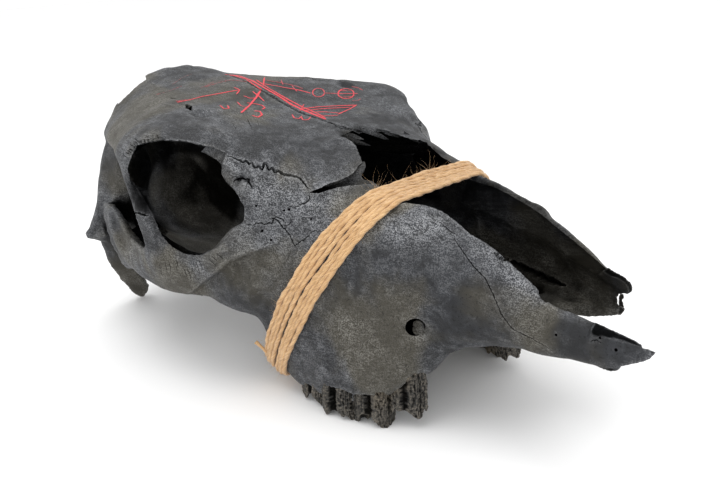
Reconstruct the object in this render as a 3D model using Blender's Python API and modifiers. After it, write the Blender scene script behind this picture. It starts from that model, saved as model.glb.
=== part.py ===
"""A blackened cow skull without its lower jaw, bound round the snout with jute twine.

The skull lies on its cheek teeth and on the two processes beside its neck joint. X is across the skull,
the snout points along -Y, and Z is up from the surface that it lies on. Shape tables are in millimetres.
"""
import math

import bmesh
import bpy
import numpy
from mathutils import Matrix, Vector

MM = 0.001

# driving dimensions, in millimetres
SNOUT_TIP = -178.0
# the tables' origin is under the middle of the forehead, and this brings it under the middle of the skull
ORIGIN_SHIFT = (0.0, -7.0, 0.0)
SUTURE_GAP = 0.8
SOCKET_GAP = 0.35
FORM_VOXEL = 1.7
SMOOTH_ROUNDS = 6
CRANIUM_TRIANGLES = 4700
INCISIVE_TRIANGLES = 340
TWINE_TURNS = 8
TWINE_DIAMETER = 2.3
TWINE_PITCH = 2.5
TWINE_STEPS = 20
TWINE_CLEARANCE = 2.2
# one step of the twine is at most this many millimetres, or this many degrees of bend
LONGEST_RUN = 110.0
SHARPEST_BEND = 20.0
# the twine lies in planes y + WRAP_SLOPE * z = distance, and this is the middle one
WRAP_SLOPE = 0.6
WRAP_MIDDLE = 17.0
WRAP_CENTRE = 62.0

BONE = (0.055, 0.056, 0.058, 1.0)
ENAMEL = (0.045, 0.040, 0.034, 1.0)
JUTE = (0.55, 0.36, 0.17, 1.0)

# Half sections of the snout, as (x, z) points at each y: the outside from the edge of the nose opening
# down to the palate, then the inside back up.
SNOUT_WALL = {
    -145: [(20, 71), (23, 72.5), (27, 71), (30, 67.5), (31, 63), (30.5, 59), (28.5, 55.5), (25, 53.5),
           (22, 53.3), (19.5, 54), (17.5, 56), (17.3, 58.5), (19, 60.5), (23, 62.5), (24, 66), (21, 68.5)],
    -130: [(20.5, 72.5), (23.5, 74.2), (28, 72), (31, 68), (32, 63), (31.5, 58.5), (29, 54.5), (25.5, 52.2),
           (22, 52), (18, 53), (15.5, 54.5), (15.5, 57), (18.5, 58), (24, 60.5), (25.5, 65.5), (21.5, 70)],
    -120: [(20.5, 79), (23.5, 81), (28.5, 78), (31.5, 72), (33, 65), (32.5, 58.5), (30, 53.5), (26, 51),
           (22, 50.8), (17, 52), (13.5, 53.5), (13.5, 57), (17.5, 57.5), (25, 60.5), (27, 68), (22, 76)],
    -105: [(21, 88), (24, 90), (29.5, 86), (33, 78), (34.5, 69), (34.5, 60), (32, 52.5), (27.5, 48.5),
           (22, 48), (14, 51), (-14, 53), (-14, 57.5), (15, 57.5), (25, 60), (28, 70), (23, 83)],
    -88: [(22, 95.5), (25.2, 97.3), (31.5, 93), (35.5, 84), (37.5, 73), (37.5, 61), (35, 49), (29, 42.5),
          (22.5, 42.5), (14, 46.5), (-14, 49), (-14, 55), (15, 55), (26, 59), (29, 72), (24.5, 88)],
    -80: [(22.5, 98), (25.5, 99.8), (32, 95.5), (37, 86.5), (39.5, 74), (39.5, 60), (37.5, 46), (33, 37.5),
          (25, 38), (16, 43), (-14, 46), (-14, 52.5), (15, 52.5), (26.5, 58), (30, 72.5), (25, 91)],
    -72: [(23, 100.8), (26, 102.5), (33, 98), (38.5, 88.5), (41, 75), (41, 59), (40.5, 43), (39.5, 26),
          (29, 28), (18, 39), (-14, 42), (-14, 50.5), (15, 50.5), (27, 56), (31, 73), (25.5, 93)],
    -55: [(24, 103.5), (27.2, 105), (36, 100), (44, 90), (48.5, 76), (49.5, 59), (51, 41), (55, 16),
          (35, 16), (20, 32), (-14, 37), (-14, 46.5), (16, 46.5), (28, 55), (31.5, 77), (26.5, 97)],
    -35: [(24.5, 109.5), (28.5, 111.8), (41, 107.5), (50, 97), (55, 81), (57.5, 63), (58, 43), (59, 11),
          (39, 11), (22, 27), (-14, 32), (-14, 42.5), (16, 42.5), (29, 54), (32, 81), (27, 103)],
    -15: [(25, 112.5), (31, 115), (44, 111), (54, 101), (60, 87), (63, 69), (61.5, 47), (58, 7.5),
          (42, 8), (24, 25), (-14, 30), (-14, 40.5), (16, 40.5), (30, 54), (33, 85), (28, 106)],
    0: [(25, 114.5), (34, 117), (48, 114.5), (60, 105), (66, 91), (69, 72), (65, 50), (57.5, 10),
        (43, 10), (25, 25), (-14, 29), (-14, 39.5), (16, 39.5), (31, 54), (34, 87), (28, 108)],
    13: [(25, 117), (38, 120), (55, 118), (66, 109), (70.5, 94), (74, 75), (69, 52), (59, 30),
         (46, 24), (26, 26), (-14, 28.5), (-14, 39), (16, 39), (31, 54), (34, 88), (28, 110)],
}

# Half sections of the braincase and of the wall between the eyes, from the top round to the base.
CORE = {
    6: [(-14, 119), (18, 119), (28, 115), (32, 104), (33, 86), (31, 66), (24, 50), (14, 44), (-14, 42)],
    35: [(-14, 126), (28, 125), (40, 118), (38, 103), (35, 84), (29, 64), (20, 50), (12, 46), (-14, 45)],
    60: [(-14, 131), (34, 130), (46, 122), (42, 106), (38, 87), (31, 65), (20, 50), (12, 46), (-14, 45)],
    85: [(-14, 137), (38, 135), (50, 126), (48, 110), (44, 91), (35, 67), (21, 49), (12, 44), (-14, 43)],
    110: [(-14, 140), (36, 137), (51, 127), (53, 112), (51, 93), (43, 67), (25, 46), (13, 41), (-14, 40)],
    135: [(-14, 141), (32, 137), (50, 126), (57, 110), (58, 91), (53, 67), (31, 44), (15, 38), (-14, 37)],
    155: [(-14, 143), (24, 139), (48, 124), (58, 106), (62, 85), (65, 63), (40, 42), (17, 36), (-14, 35)],
    165: [(-14, 138), (22, 134), (47, 118), (58, 98), (64, 79), (69, 60), (44, 41), (18, 36), (-14, 34.5)],
    172: [(-14, 116), (18, 112), (33, 99), (43, 84), (50, 70), (54, 56), (38, 42), (18, 36), (-14, 35)],
    178: [(-14, 96), (10, 94), (18, 84), (25, 74), (29, 62), (29, 50), (26, 41), (16, 37), (-14, 36)],
}

# Half sections of the broad forehead plate: the top from the middle to the edge, then the underside.
FOREHEAD = {
    -31: [(-14, 121), (15, 119.5), (25, 117), (31, 114.5), (36, 111), (39, 107),
          (37, 104), (30, 110.5), (24, 113.5), (15, 115.5), (-14, 117)],
    -10: [(-14, 125), (18, 123.5), (32, 120.5), (43, 115.5), (50, 110), (54, 104),
          (51, 101), (41, 109), (32, 115), (18, 118.5), (-14, 120)],
    8: [(-14, 128), (20, 127), (38, 125), (50, 121.5), (59, 116.5), (63.5, 110),
        (60, 107), (50, 113), (38, 118), (20, 120.5), (-14, 121)],
    20: [(-14, 130), (22, 129.5), (42, 129), (57, 128), (66, 125), (69.5, 120),
         (66, 117), (56, 119), (42, 121), (22, 122), (-14, 122)],
    39: [(-14, 132), (26, 132.5), (50, 134), (65, 134.5), (75, 132.2), (80, 128),
         (76, 125.5), (64, 126.5), (48, 125), (24, 124), (-14, 124)],
    55: [(-14, 135), (28, 136), (52, 137.8), (69, 137.6), (81, 134), (86.5, 129.5),
         (81, 126.5), (68, 128.5), (50, 128), (26, 127), (-14, 127)],
    70: [(-14, 138.5), (30, 139.5), (54, 140.5), (73, 138), (85, 132), (91, 125.5),
         (86, 120), (72, 128), (52, 131), (28, 130), (-14, 130)],
    85: [(-14, 142), (30, 141.5), (54, 139.8), (75, 135.3), (86, 128.5), (90, 119.5),
         (85, 114), (73, 124), (52, 130), (28, 131), (-14, 131)],
    98: [(-14, 144.5), (28, 143.5), (50, 139.8), (69, 134), (80.5, 127.5), (85, 120),
         (80, 116), (67, 123), (50, 130), (28, 132), (-14, 132)],
    115: [(-14, 145.8), (26, 144.2), (46, 139.6), (62, 133), (74, 126.5), (78, 120.5),
          (72, 117), (59, 123), (46, 130), (26, 134), (-14, 134)],
    135: [(-14, 146.3), (24, 143.8), (41, 139.8), (55, 132.5), (66, 125.5), (69.5, 119),
          (63, 116), (50, 122), (40, 130), (24, 136), (-14, 137)],
    150: [(-14, 148), (18, 146.5), (30, 143), (45, 133.5), (56, 125), (61, 117.5),
          (54, 115), (43, 121), (32, 131), (18, 138), (-14, 140)],
    166: [(-14, 149.6), (14, 149.6), (24, 145), (37, 134.5), (49, 123.5), (54, 115.5),
          (47, 114), (35, 123), (25, 133), (14, 140), (-14, 142)],
}

# Sections of the cheek bone under the eye, from its upper edge outward and round.
CHEEK = {
    -10: [(57, 84), (62, 82), (65, 74), (65, 62), (62, 54), (57, 54), (54, 64), (54, 76)],
    8: [(64, 93), (71, 91), (75, 81), (75, 67), (69, 51), (62, 46), (58, 58), (60, 78)],
    20: [(68, 88.5), (74, 88), (78, 79), (77.5, 65), (71, 48), (63, 41), (61, 52), (64, 74)],
    31: [(71, 78.5), (76.5, 78), (80, 71), (79.5, 61), (73, 48), (65, 42), (64, 50), (68, 68)],
    45: [(74, 73.5), (79.5, 73), (83.5, 67), (83, 57), (77, 48.5), (71, 47), (69, 54), (71, 66)],
    60: [(77, 75.5), (82.5, 75), (86.5, 68), (86, 57), (80.5, 48), (75, 47), (73, 55), (75, 66)],
    72: [(79, 80), (84.5, 79), (87.5, 70), (86.5, 58), (82, 48), (77, 47), (76, 56), (77, 68)],
    84: [(79, 67), (83, 67), (86, 63), (85.5, 56), (82, 49), (78, 48), (76.5, 54), (77, 62)],
    96: [(78, 60.5), (81.5, 60.5), (83.5, 58), (83.5, 54), (81.5, 50.5), (78.5, 50), (77, 53), (77, 58)],
}


def blank_scene():
    """Remove every object, so that the model stands alone."""
    for item in list(bpy.data.objects):
        bpy.data.objects.remove(item, do_unlink=True)
    for group in list(bpy.data.collections):
        bpy.data.collections.remove(group)


def new_collection(name):
    group = bpy.data.collections.new(name)
    bpy.context.scene.collection.children.link(group)
    return group


def new_material(name, colour, roughness):
    """A plain painted finish."""
    material = bpy.data.materials.new(name)
    material.use_nodes = True
    shader = material.node_tree.nodes["Principled BSDF"]
    shader.inputs["Base Color"].default_value = colour
    shader.inputs["Roughness"].default_value = roughness
    shader.inputs["Metallic"].default_value = 0.0
    return material


def object_from_bmesh(name, mesh_data, group):
    mesh = bpy.data.meshes.new(name)
    mesh_data.to_mesh(mesh)
    mesh_data.free()
    item = bpy.data.objects.new(name, mesh)
    group.objects.link(item)
    return item


def spline(points, count, closed):
    """Points on a smooth curve through the given ones, count of them to each stretch."""
    points = numpy.asarray(points, dtype=float)
    total = len(points)
    stretches = total if closed else total - 1
    out = []
    for index in range(stretches):
        if closed:
            before, start, end, after = (points[(index + shift) % total] for shift in (-1, 0, 1, 2))
        else:
            start, end = points[index], points[index + 1]
            before = points[index - 1] if index else 2 * start - end
            after = points[index + 2] if index + 2 < total else 2 * end - start
        for step in range(count):
            t = step / count
            out.append(0.5 * (2 * start + (end - before) * t
                              + (2 * before - 5 * start + 4 * end - after) * t ** 2
                              + (3 * start - before - 3 * end + after) * t ** 3))
    if not closed:
        out.append(points[-1])
    return numpy.array(out)


def skin(name, rings, group):
    """A closed solid through rings that all have the same number of points."""
    mesh_data = bmesh.new()
    rows = [[mesh_data.verts.new(Vector(point) * MM) for point in ring] for ring in rings]
    size = len(rows[0])
    for low, high in zip(rows, rows[1:]):
        for index in range(size):
            following = (index + 1) % size
            mesh_data.faces.new((low[index], low[following], high[following], high[index]))
    mesh_data.faces.new(rows[0])
    mesh_data.faces.new(rows[-1])
    bmesh.ops.triangulate(mesh_data, faces=[face for face in mesh_data.faces if len(face.verts) > 4])
    bmesh.ops.recalc_face_normals(mesh_data, faces=mesh_data.faces)
    return object_from_bmesh(name, mesh_data, group)


def loft(name, table, group, around=3, along=4):
    """A solid through the sections of a table of (x, z) points at each y."""
    places = sorted(table)
    outlines = [spline(table[y], around, closed=True) for y in places]
    solid_rings = [[(x, y, z) for x, z in outline] for y, outline in zip(places, outlines)]
    columns = [spline([ring[index] for ring in solid_rings], along, closed=False)
               for index in range(len(solid_rings[0]))]
    return skin(name, numpy.array(columns).transpose(1, 0, 2), group)


def sweep(name, stations, group, sides=12, along=4):
    """A solid of oval sections, each given by its centre and its two half axes."""
    centres, firsts, seconds = (spline([station[part] for station in stations], along, closed=False)
                                for part in range(3))
    angles = [2 * math.pi * side / sides for side in range(sides)]
    rings = [[centre + first * math.cos(angle) + second * math.sin(angle) for angle in angles]
             for centre, first, second in zip(centres, firsts, seconds)]
    return skin(name, rings, group)


def ovoid(name, centre, radii, group, turn=(0, 0, 0)):
    """An egg-shaped solid."""
    bpy.ops.mesh.primitive_uv_sphere_add(segments=24, ring_count=14, radius=1.0)
    item = bpy.context.object
    item.name = name
    item.scale = Vector(radii) * MM
    item.rotation_euler = [math.radians(angle) for angle in turn]
    item.location = Vector(centre) * MM
    bpy.ops.object.transform_apply(location=True, rotation=True, scale=True)
    move_to(item, group)
    return item


def move_to(item, group):
    for old in list(item.users_collection):
        old.objects.unlink(item)
    group.objects.link(item)


def block(name, outline, axis, low, high, group):
    """A prism: a flat outline in the plane across axis, pushed from low to high along it."""
    mesh_data = bmesh.new()
    order = {"X": (2, 0, 1), "Z": (0, 1, 2)}[axis]
    rows = []
    for level in (low, high):
        row = []
        for first, second in outline:
            point = (first, second, level)
            row.append(mesh_data.verts.new(Vector([point[index] for index in order]) * MM))
        rows.append(row)
    size = len(outline)
    for index in range(size):
        following = (index + 1) % size
        mesh_data.faces.new((rows[0][index], rows[0][following], rows[1][following], rows[1][index]))
    mesh_data.faces.new(rows[0])
    mesh_data.faces.new(rows[1])
    bmesh.ops.triangulate(mesh_data, faces=[face for face in mesh_data.faces if len(face.verts) > 4])
    bmesh.ops.recalc_face_normals(mesh_data, faces=mesh_data.faces)
    return object_from_bmesh(name, mesh_data, group)


def apply_all(item):
    """Turn an object's modifiers into its mesh."""
    graph = bpy.context.evaluated_depsgraph_get()
    mesh = bpy.data.meshes.new_from_object(item.evaluated_get(graph))
    item.modifiers.clear()
    item.data = mesh


def fuse(name, pieces, group):
    """Join overlapping solids into one skin."""
    bpy.ops.object.select_all(action="DESELECT")
    for piece in pieces:
        piece.select_set(True)
    bpy.context.view_layer.objects.active = pieces[0]
    bpy.ops.object.join()
    whole = bpy.context.object
    whole.name = name
    remesh(whole, FORM_VOXEL)
    move_to(whole, group)
    return whole


def remesh(item, voxel):
    modifier = item.modifiers.new("skin", "REMESH")
    modifier.mode = "VOXEL"
    modifier.voxel_size = voxel * MM
    apply_all(item)


def soften(item, rounds, factor=0.5):
    modifier = item.modifiers.new("soften", "SMOOTH")
    modifier.iterations = rounds
    modifier.factor = factor
    apply_all(item)


def thin_out(item, triangles):
    """Bring a mesh down to about the given number of triangles."""
    count = sum(len(polygon.vertices) - 2 for polygon in item.data.polygons)
    if count > triangles:
        modifier = item.modifiers.new("thin", "DECIMATE")
        modifier.ratio = triangles / count
        modifier.use_collapse_triangulate = True
        apply_all(item)


def cut(item, cutters, operation="DIFFERENCE", solver="EXACT"):
    for cutter in cutters:
        modifier = item.modifiers.new("cut", "BOOLEAN")
        modifier.operation = operation
        modifier.solver = solver
        modifier.object = cutter
        apply_all(item)


def mirrored(item):
    """Make a solid that crosses the middle plane the same on both sides of it."""
    mesh_data = bmesh.new()
    mesh_data.from_mesh(item.data)
    bmesh.ops.triangulate(mesh_data, faces=mesh_data.faces)
    everything = [*mesh_data.verts, *mesh_data.edges, *mesh_data.faces]
    bmesh.ops.bisect_plane(mesh_data, geom=everything, dist=0.0, plane_co=(0, 0, 0), plane_no=(1, 0, 0),
                           clear_inner=True)
    for vertex in mesh_data.verts:
        if vertex.is_boundary:
            vertex.co.x = 0.0
    everything = [*mesh_data.verts, *mesh_data.edges, *mesh_data.faces]
    bmesh.ops.mirror(mesh_data, geom=everything, axis="X", merge_dist=0.0000001)
    bmesh.ops.recalc_face_normals(mesh_data, faces=mesh_data.faces)
    mesh_data.to_mesh(item.data)
    mesh_data.free()


def oval_section(x, z, half_width, half_height):
    """A round section with its points where those of the snout's other sections are."""
    angles = (105, 85, 55, 28, 0, -28, -52, -75, -98, -120, -145, -170, 170, 152, 136, 120)
    return [(x + half_width * math.cos(math.radians(angle)), z + half_height * math.sin(math.radians(angle)))
            for angle in angles]


def head_forms(group):
    """The overlapping solids of one side of the head, which cross the middle plane a little."""
    wall = dict(SNOUT_WALL)
    wall[SNOUT_TIP] = oval_section(25.0, 66.2, 2.4, 1.8)
    wall[SNOUT_TIP + 6] = oval_section(25.2, 65.2, 4.4, 3.8)
    wall[SNOUT_TIP + 17] = oval_section(25.2, 63.0, 5.6, 7.6)
    forms = [
        loft("snout", wall, group),
        loft("core", CORE, group),
        loft("forehead", FOREHEAD, group),
        loft("cheek", CHEEK, group),
        ovoid("orbit_floor", (55, 20, 58), (17, 24, 20), group),
        ovoid("tear_bone", (58, 14, 109), (9.5, 10.5, 12.5), group, (0, 0, 12)),
        ovoid("jaw_tuber", (53, 8, 24), (8, 13, 15), group),
        ovoid("condyle", (20.5, 181, 49), (12, 10, 19), group, (12, 22, 15)),
        ovoid("jaw_joint", (59, 124, 61), (17, 15, 6), group, (-8, 10, 0)),
        ovoid("bulla", (37, 150, 34), (8, 14, 13), group, (0, 0, -20)),
        ovoid("mastoid", (65.5, 162, 60), (8, 6, 9), group),
    ]
    forms.append(sweep("postorbital_bar", [
        ((81, 70, 62), (-2, 9, 0), (3.6, 1, 0)),
        ((83.5, 73, 76), (-2, 9.5, 0), (3.2, 0.8, 0)),
        ((85, 77, 88), (-2.5, 9, 0), (2.7, 0.9, 0)),
        ((86, 81, 99), (-3.5, 8, 0), (2.4, 1.1, 0)),
        ((86, 85, 110), (-4, 7.5, 0), (2.4, 1.4, 0)),
        ((85, 84, 119), (-5, 9, 0), (3.0, 1.8, 0)),
        ((81, 82, 127), (-6, 12, 0), (5.0, 2.5, 0)),
    ], group))
    forms.append(sweep("temple_strap", [
        ((56, 152, 72), (0, 0, 10), (3.5, 2, 0)),
        ((68, 138, 74), (0, 1, 9), (2.2, 2.2, 0)),
        ((76.5, 125, 70), (0, 4, 9.5), (2.4, 1.5, 0)),
        ((80, 112, 62), (0, 7, 10), (2.4, 0.8, 0)),
        ((81, 100, 57.5), (0, 6, 9), (2.5, 0.3, 0)),
        ((81.5, 88, 56), (0, 2, 7.5), (2.8, 0, 0)),
    ], group))
    forms.append(sweep("jugular_process", [
        ((59, 163, 57), (9, 3, 0), (-2, 6.5, 0)),
        ((55, 167, 46), (8.5, 3, 1), (-2, 6.0, 0)),
        ((50.5, 172, 33), (8.5, 3, 3), (-1.5, 5.6, 0)),
        ((44.5, 175, 19), (7, 2, 3.5), (-1.2, 4.4, 0)),
        ((38, 177, 7), (5, 1, 3.2), (-0.9, 3.3, 0)),
        ((34.5, 178, -1.4), (2.8, 0.5, 1.4), (-0.6, 2.4, 0)),
    ], group, along=5))
    forms.append(sweep("throat_plate", [
        ((17, 26, 44), (0, 0, 16), (3, 0, 0)),
        ((16.5, 42, 42), (0, 1, 15), (2.4, 0, 0)),
        ((16, 60, 41), (0, 2, 14), (2.2, 0, 0)),
        ((15, 76, 40), (0, 4, 12), (2.2, 0, 0)),
        ((14, 90, 42), (0, 3, 6), (2.4, 0, 0)),
    ], group))
    forms.append(sweep("skull_base", [
        ((0, 84, 44), (9, 0, 0), (0, 0, 6)),
        ((0, 110, 41), (11, 0, 0), (0, 0, 6)),
        ((0, 140, 38), (15, 0, 0), (0, 0, 5.5)),
        ((0, 165, 37), (17, 0, 0), (0, 0, 5)),
        ((0, 180, 39), (12, 0, 0), (0, 0, 4)),
    ], group))
    return forms


def hollow_forms(group):
    """The cutters for the hollows of one side, each crossing the middle plane where it has to."""
    nose = {
        -30: [(-14, 43), (15, 43), (28, 53), (31, 75), (27, 100), (24, 118), (-14, 128)],
        -10: [(-14, 41), (15, 41), (28, 53), (31, 78), (28, 102), (24, 116), (-14, 119)],
        8: [(-14, 40), (14, 40), (27, 53), (29, 76), (27, 100), (22, 114), (-14, 117)],
        25: [(-14, 40), (13, 40), (21, 52), (22, 72), (20, 92), (15, 105), (-14, 108)],
        40: [(-14, 40), (12, 40), (16, 50), (16, 66), (13, 80), (8, 88), (-14, 90)],
        52: [(-14, 38), (10, 39), (12, 46), (11, 54), (8, 60), (4, 63), (-14, 64)],
    }
    throat = {
        24: [(-14, 34), (11, 34), (12.5, 42), (12, 52), (8, 57), (4, 58), (-14, 58)],
        45: [(-14, 20), (11.5, 21), (12.5, 38), (12, 50), (8, 56), (4, 57), (-14, 57)],
        70: [(-14, 15), (10.5, 16), (11.5, 32), (11, 42), (8, 45), (4, 45), (-14, 45)],
        86: [(-14, 15), (9, 16), (10, 28), (9.5, 36), (7, 38.5), (4, 38.5), (-14, 38.5)],
    }
    return [
        loft("cut_nose", nose, group),
        loft("cut_throat", throat, group),
        ovoid("cut_brain", (0, 131, 90), (34, 33, 31), group),
        ovoid("cut_neck_hole", (0, 166, 68), (14.5, 32, 12.5), group, (-18, 0, 0)),
        ovoid("cut_cheek_hole", (43, -73, 52), (9, 6, 4.2), group, (0, 0, -35)),
        ovoid("cut_palate_slot", (20, -84, 54), (2.6, 21, 10), group, (0, 0, 4)),
    ]


# The suture between maxilla and incisive bone, as (y, z), seen from the side.
SUTURE = [(-81, 96), (-86, 90), (-94, 83), (-99, 78), (-104, 71), (-108, 65), (-114, 60), (-124, 57.5),
          (-131, 55), (-136, 50)]
# The broken end of the far incisive bone, as (y, z).
BROKEN_END = [(-128, 80), (-135, 75), (-139, 70), (-138, 66.5), (-132, 64), (-131.5, 60), (-136, 57), (-135, 53),
              (-129, 48)]


def front_outline(shift):
    """The side outline of all that lies in front of the suture, moved back by shift."""
    return [(y + shift, z - shift) for y, z in SUTURE] + [(-200, 40), (-200, 110), (-81 + shift, 110)]


def build_bones(parts, guides):
    """The cranium and the two incisive bones."""
    whole = fuse("cranium", head_forms(guides), parts)
    soften(whole, 2)
    cut(whole, hollow_forms(guides), solver="MANIFOLD")
    remesh(whole, FORM_VOXEL)
    soften(whole, SMOOTH_ROUNDS)
    mirrored(whole)
    notch = [(0, 9), (6, 7), (13, -2), (19, -14), (23, -21), (29, -24), (38, -26), (50, -24), (60, -40),
             (-60, -40), (-50, -24), (-38, -26), (-29, -24), (-23, -21), (-19, -14), (-13, -2), (-6, 7)]
    cut(whole, [block("cut_lobes", notch, "Z", 112, 140, guides)])

    incisives = {}
    for side, name in ((-1, "incisive_right"), (1, "incisive_left")):
        piece = whole.copy()
        piece.data = whole.data.copy()
        piece.name = name
        parts.objects.link(piece)
        low, high = sorted((side * 2.0, side * 60.0))
        cut(piece, [block("keep_" + name, front_outline(-SUTURE_GAP), "X", low, high, guides)], "INTERSECT")
        incisives[name] = piece
    end = BROKEN_END + [(-200, 48), (-200, 80)]
    cut(incisives["incisive_left"], [block("cut_broken_end", end, "X", -5, 60, guides)])
    cut(whole, [block("cut_front", front_outline(0.0), "X", -60, 60, guides)])
    for piece in incisives.values():
        thin_out(piece, INCISIVE_TRIANGLES)
    thin_out(whole, CRANIUM_TRIANGLES)
    cut(whole, [block("cut_ground", [(-60, 150), (60, 150), (60, 200), (-60, 200)], "Z", -12, 0, guides)])
    return whole, incisives


# Each cheek tooth from the front: its centre (x, y), turn about Z, length along the row, width,
# chewing face and gum level.
TEETH = [
    ((37.6, -67.0), 30, 15.4, 12.0, 8.0, 22.0),
    ((48.2, -51.3), 17, 18.6, 15.5, 0.0, 15.0),
    ((52.4, -31.9), 5, 19.6, 15.5, 0.0, 11.0),
    ((51.6, -13.4), -3, 15.6, 14.0, 1.2, 8.0),
]
TOOTH_SIDES = 12
TOOTH_SQUARENESS = 0.68
ROOT_DEPTH = 7.0


def squared(value):
    """Push a sine or cosine outward, which turns an oval into a rounded rectangle."""
    return math.copysign(abs(value) ** TOOTH_SQUARENESS, value)


def tooth_ring(tooth, side, level, scale, margin):
    """The outline of a tooth at one level, seen from below."""
    (x, y), turn, length, width, _, _ = tooth
    angle = math.radians(turn)
    ring = []
    for step in range(TOOTH_SIDES):
        t = 2 * math.pi * step / TOOTH_SIDES
        across = (width / 2 * scale + margin) * squared(math.cos(t))
        along = (length / 2 * scale + margin) * squared(math.sin(t))
        local_x = x + across * math.cos(angle) + along * math.sin(angle)
        local_y = y - across * math.sin(angle) + along * math.cos(angle)
        ring.append((side * local_x, local_y, level))
    return ring


def tooth_solid(name, tooth, side, margin, group):
    """One cheek tooth, or its socket where margin is above zero."""
    face, gum = tooth[4], tooth[5]
    levels = [(face - 4 * margin, 0.93), (face + 2.5, 1.0), (gum - 1.0, 0.95), (gum + 2.0, 0.80),
              (gum + ROOT_DEPTH + margin, 0.70)]
    rings = [tooth_ring(tooth, side, level, scale, margin) for level, scale in levels]
    return skin(name, rings, group)


def build_teeth(cranium, parts, guides):
    """Four cheek teeth in each side, and their sockets in the cranium."""
    teeth = []
    for side, side_name in ((-1, "right"), (1, "left")):
        for number, tooth in enumerate(TEETH, start=1):
            name = f"tooth_{side_name}_{number}"
            teeth.append(tooth_solid(name, tooth, side, 0.0, parts))
            cut(cranium, [tooth_solid("socket_" + name, tooth, side, SOCKET_GAP, guides)])
    return teeth


def plane_section(points, edges, distance):
    """Where the bone crosses a wrap plane, as (x, height along the plane) points."""
    offset = points[:, 1] + WRAP_SLOPE * points[:, 2] - distance
    first, second = offset[edges[:, 0]], offset[edges[:, 1]]
    crossing = first * second < 0
    share = first[crossing] / (first[crossing] - second[crossing])
    ends = points[edges[crossing, 0]], points[edges[crossing, 1]]
    found = ends[0] + (ends[1] - ends[0]) * share[:, None]
    return numpy.stack([found[:, 0], found[:, 2] * math.hypot(1, WRAP_SLOPE)], axis=1)


def taut_radius(section, centre_height, angle, clear):
    """How far from its centre a taut loop runs round a section, in one direction."""
    normals = numpy.radians(numpy.arange(0, 360, 2))
    shifted = section - numpy.array([0.0, centre_height])
    reach = (shifted @ numpy.array([numpy.cos(normals), numpy.sin(normals)])).max(axis=0) + clear
    facing = numpy.cos(normals - angle)
    return (reach[facing > 0.05] / facing[facing > 0.05]).min()


def twine_route(cranium):
    """Points along the twine: a helix that hugs the taut outline of the bone in each wrap plane."""
    mesh = cranium.data
    points = numpy.array([vertex.co for vertex in mesh.vertices]) / MM
    edges = numpy.array([tuple(edge.vertices) for edge in mesh.edges])
    lean = math.hypot(1, WRAP_SLOPE)
    centre_height = WRAP_CENTRE * lean
    clear = TWINE_DIAMETER / 2 + TWINE_CLEARANCE
    fine = []
    fine_steps = 180
    for step in range(TWINE_TURNS * fine_steps + 1):
        turn = step / fine_steps
        distance = WRAP_MIDDLE + (turn - TWINE_TURNS / 2) * TWINE_PITCH * lean
        angle = 2 * math.pi * turn - math.pi / 2
        section = plane_section(points, edges, distance)
        radius = taut_radius(section, centre_height, angle, clear)
        height = (centre_height + radius * math.sin(angle)) / lean
        fine.append((radius * math.cos(angle), distance - WRAP_SLOPE * height, height))
    fine = numpy.array(fine)
    return fine[bend_steps(fine, TWINE_TURNS * TWINE_STEPS)]


def bend_steps(route, count):
    """Indices along a route, closer together where it bends."""
    runs = numpy.diff(route, axis=0)
    lengths = numpy.linalg.norm(runs, axis=1)
    headings = runs / lengths[:, None]
    bends = numpy.degrees(numpy.arccos(numpy.clip((headings[1:] * headings[:-1]).sum(axis=1), -1, 1)))
    weight = lengths[1:] / LONGEST_RUN + bends / SHARPEST_BEND
    measure = numpy.concatenate([[0, 0], numpy.cumsum(weight)])
    wanted = numpy.linspace(0, measure[-1], count + 1)
    return numpy.unique(numpy.searchsorted(measure, wanted).clip(0, len(route) - 1))


def build_twine(cranium, parts):
    route = twine_route(cranium)
    curve = bpy.data.curves.new("twine", "CURVE")
    curve.dimensions = "3D"
    curve.bevel_depth = TWINE_DIAMETER / 2 * MM
    curve.bevel_resolution = 2
    curve.use_fill_caps = True
    line = curve.splines.new("POLY")
    line.points.add(len(route) - 1)
    for point, place in zip(line.points, route):
        point.co = (*(place * MM), 1.0)
    twine = bpy.data.objects.new("twine", curve)
    parts.objects.link(twine)
    return twine


def main():
    blank_scene()
    parts = new_collection("cow_skull")
    guides = new_collection("cutters")
    bone = new_material("blackened_bone", BONE, 0.85)
    enamel = new_material("blackened_enamel", ENAMEL, 0.6)
    jute = new_material("jute", JUTE, 0.95)
    whole, incisives = build_bones(parts, guides)
    twine = build_twine(whole, parts)
    teeth = build_teeth(whole, parts, guides)
    for piece in (whole, *incisives.values(), *teeth, twine):
        piece.data.materials.clear()
    for piece in (whole, *incisives.values()):
        piece.data.materials.append(bone)
    for tooth in teeth:
        tooth.data.materials.append(enamel)
    twine.data.materials.append(jute)
    for guide in guides.objects:
        guide.hide_render = True
        guide.display_type = "WIRE"
    for item in (*parts.objects, *guides.objects):
        item.data.transform(Matrix.Translation(Vector(ORIGIN_SHIFT) * MM))


main()
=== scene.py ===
"""The looks of a blackened cow skull that lies on a pale table, with jute twine bound round its snout."""
import math

import bmesh
import bpy
import numpy as np
from mathutils import Matrix, Vector, noise
from mathutils.bvhtree import BVHTree
from mathutils.geometry import tessellate_polygon
from mathutils.kdtree import KDTree


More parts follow.
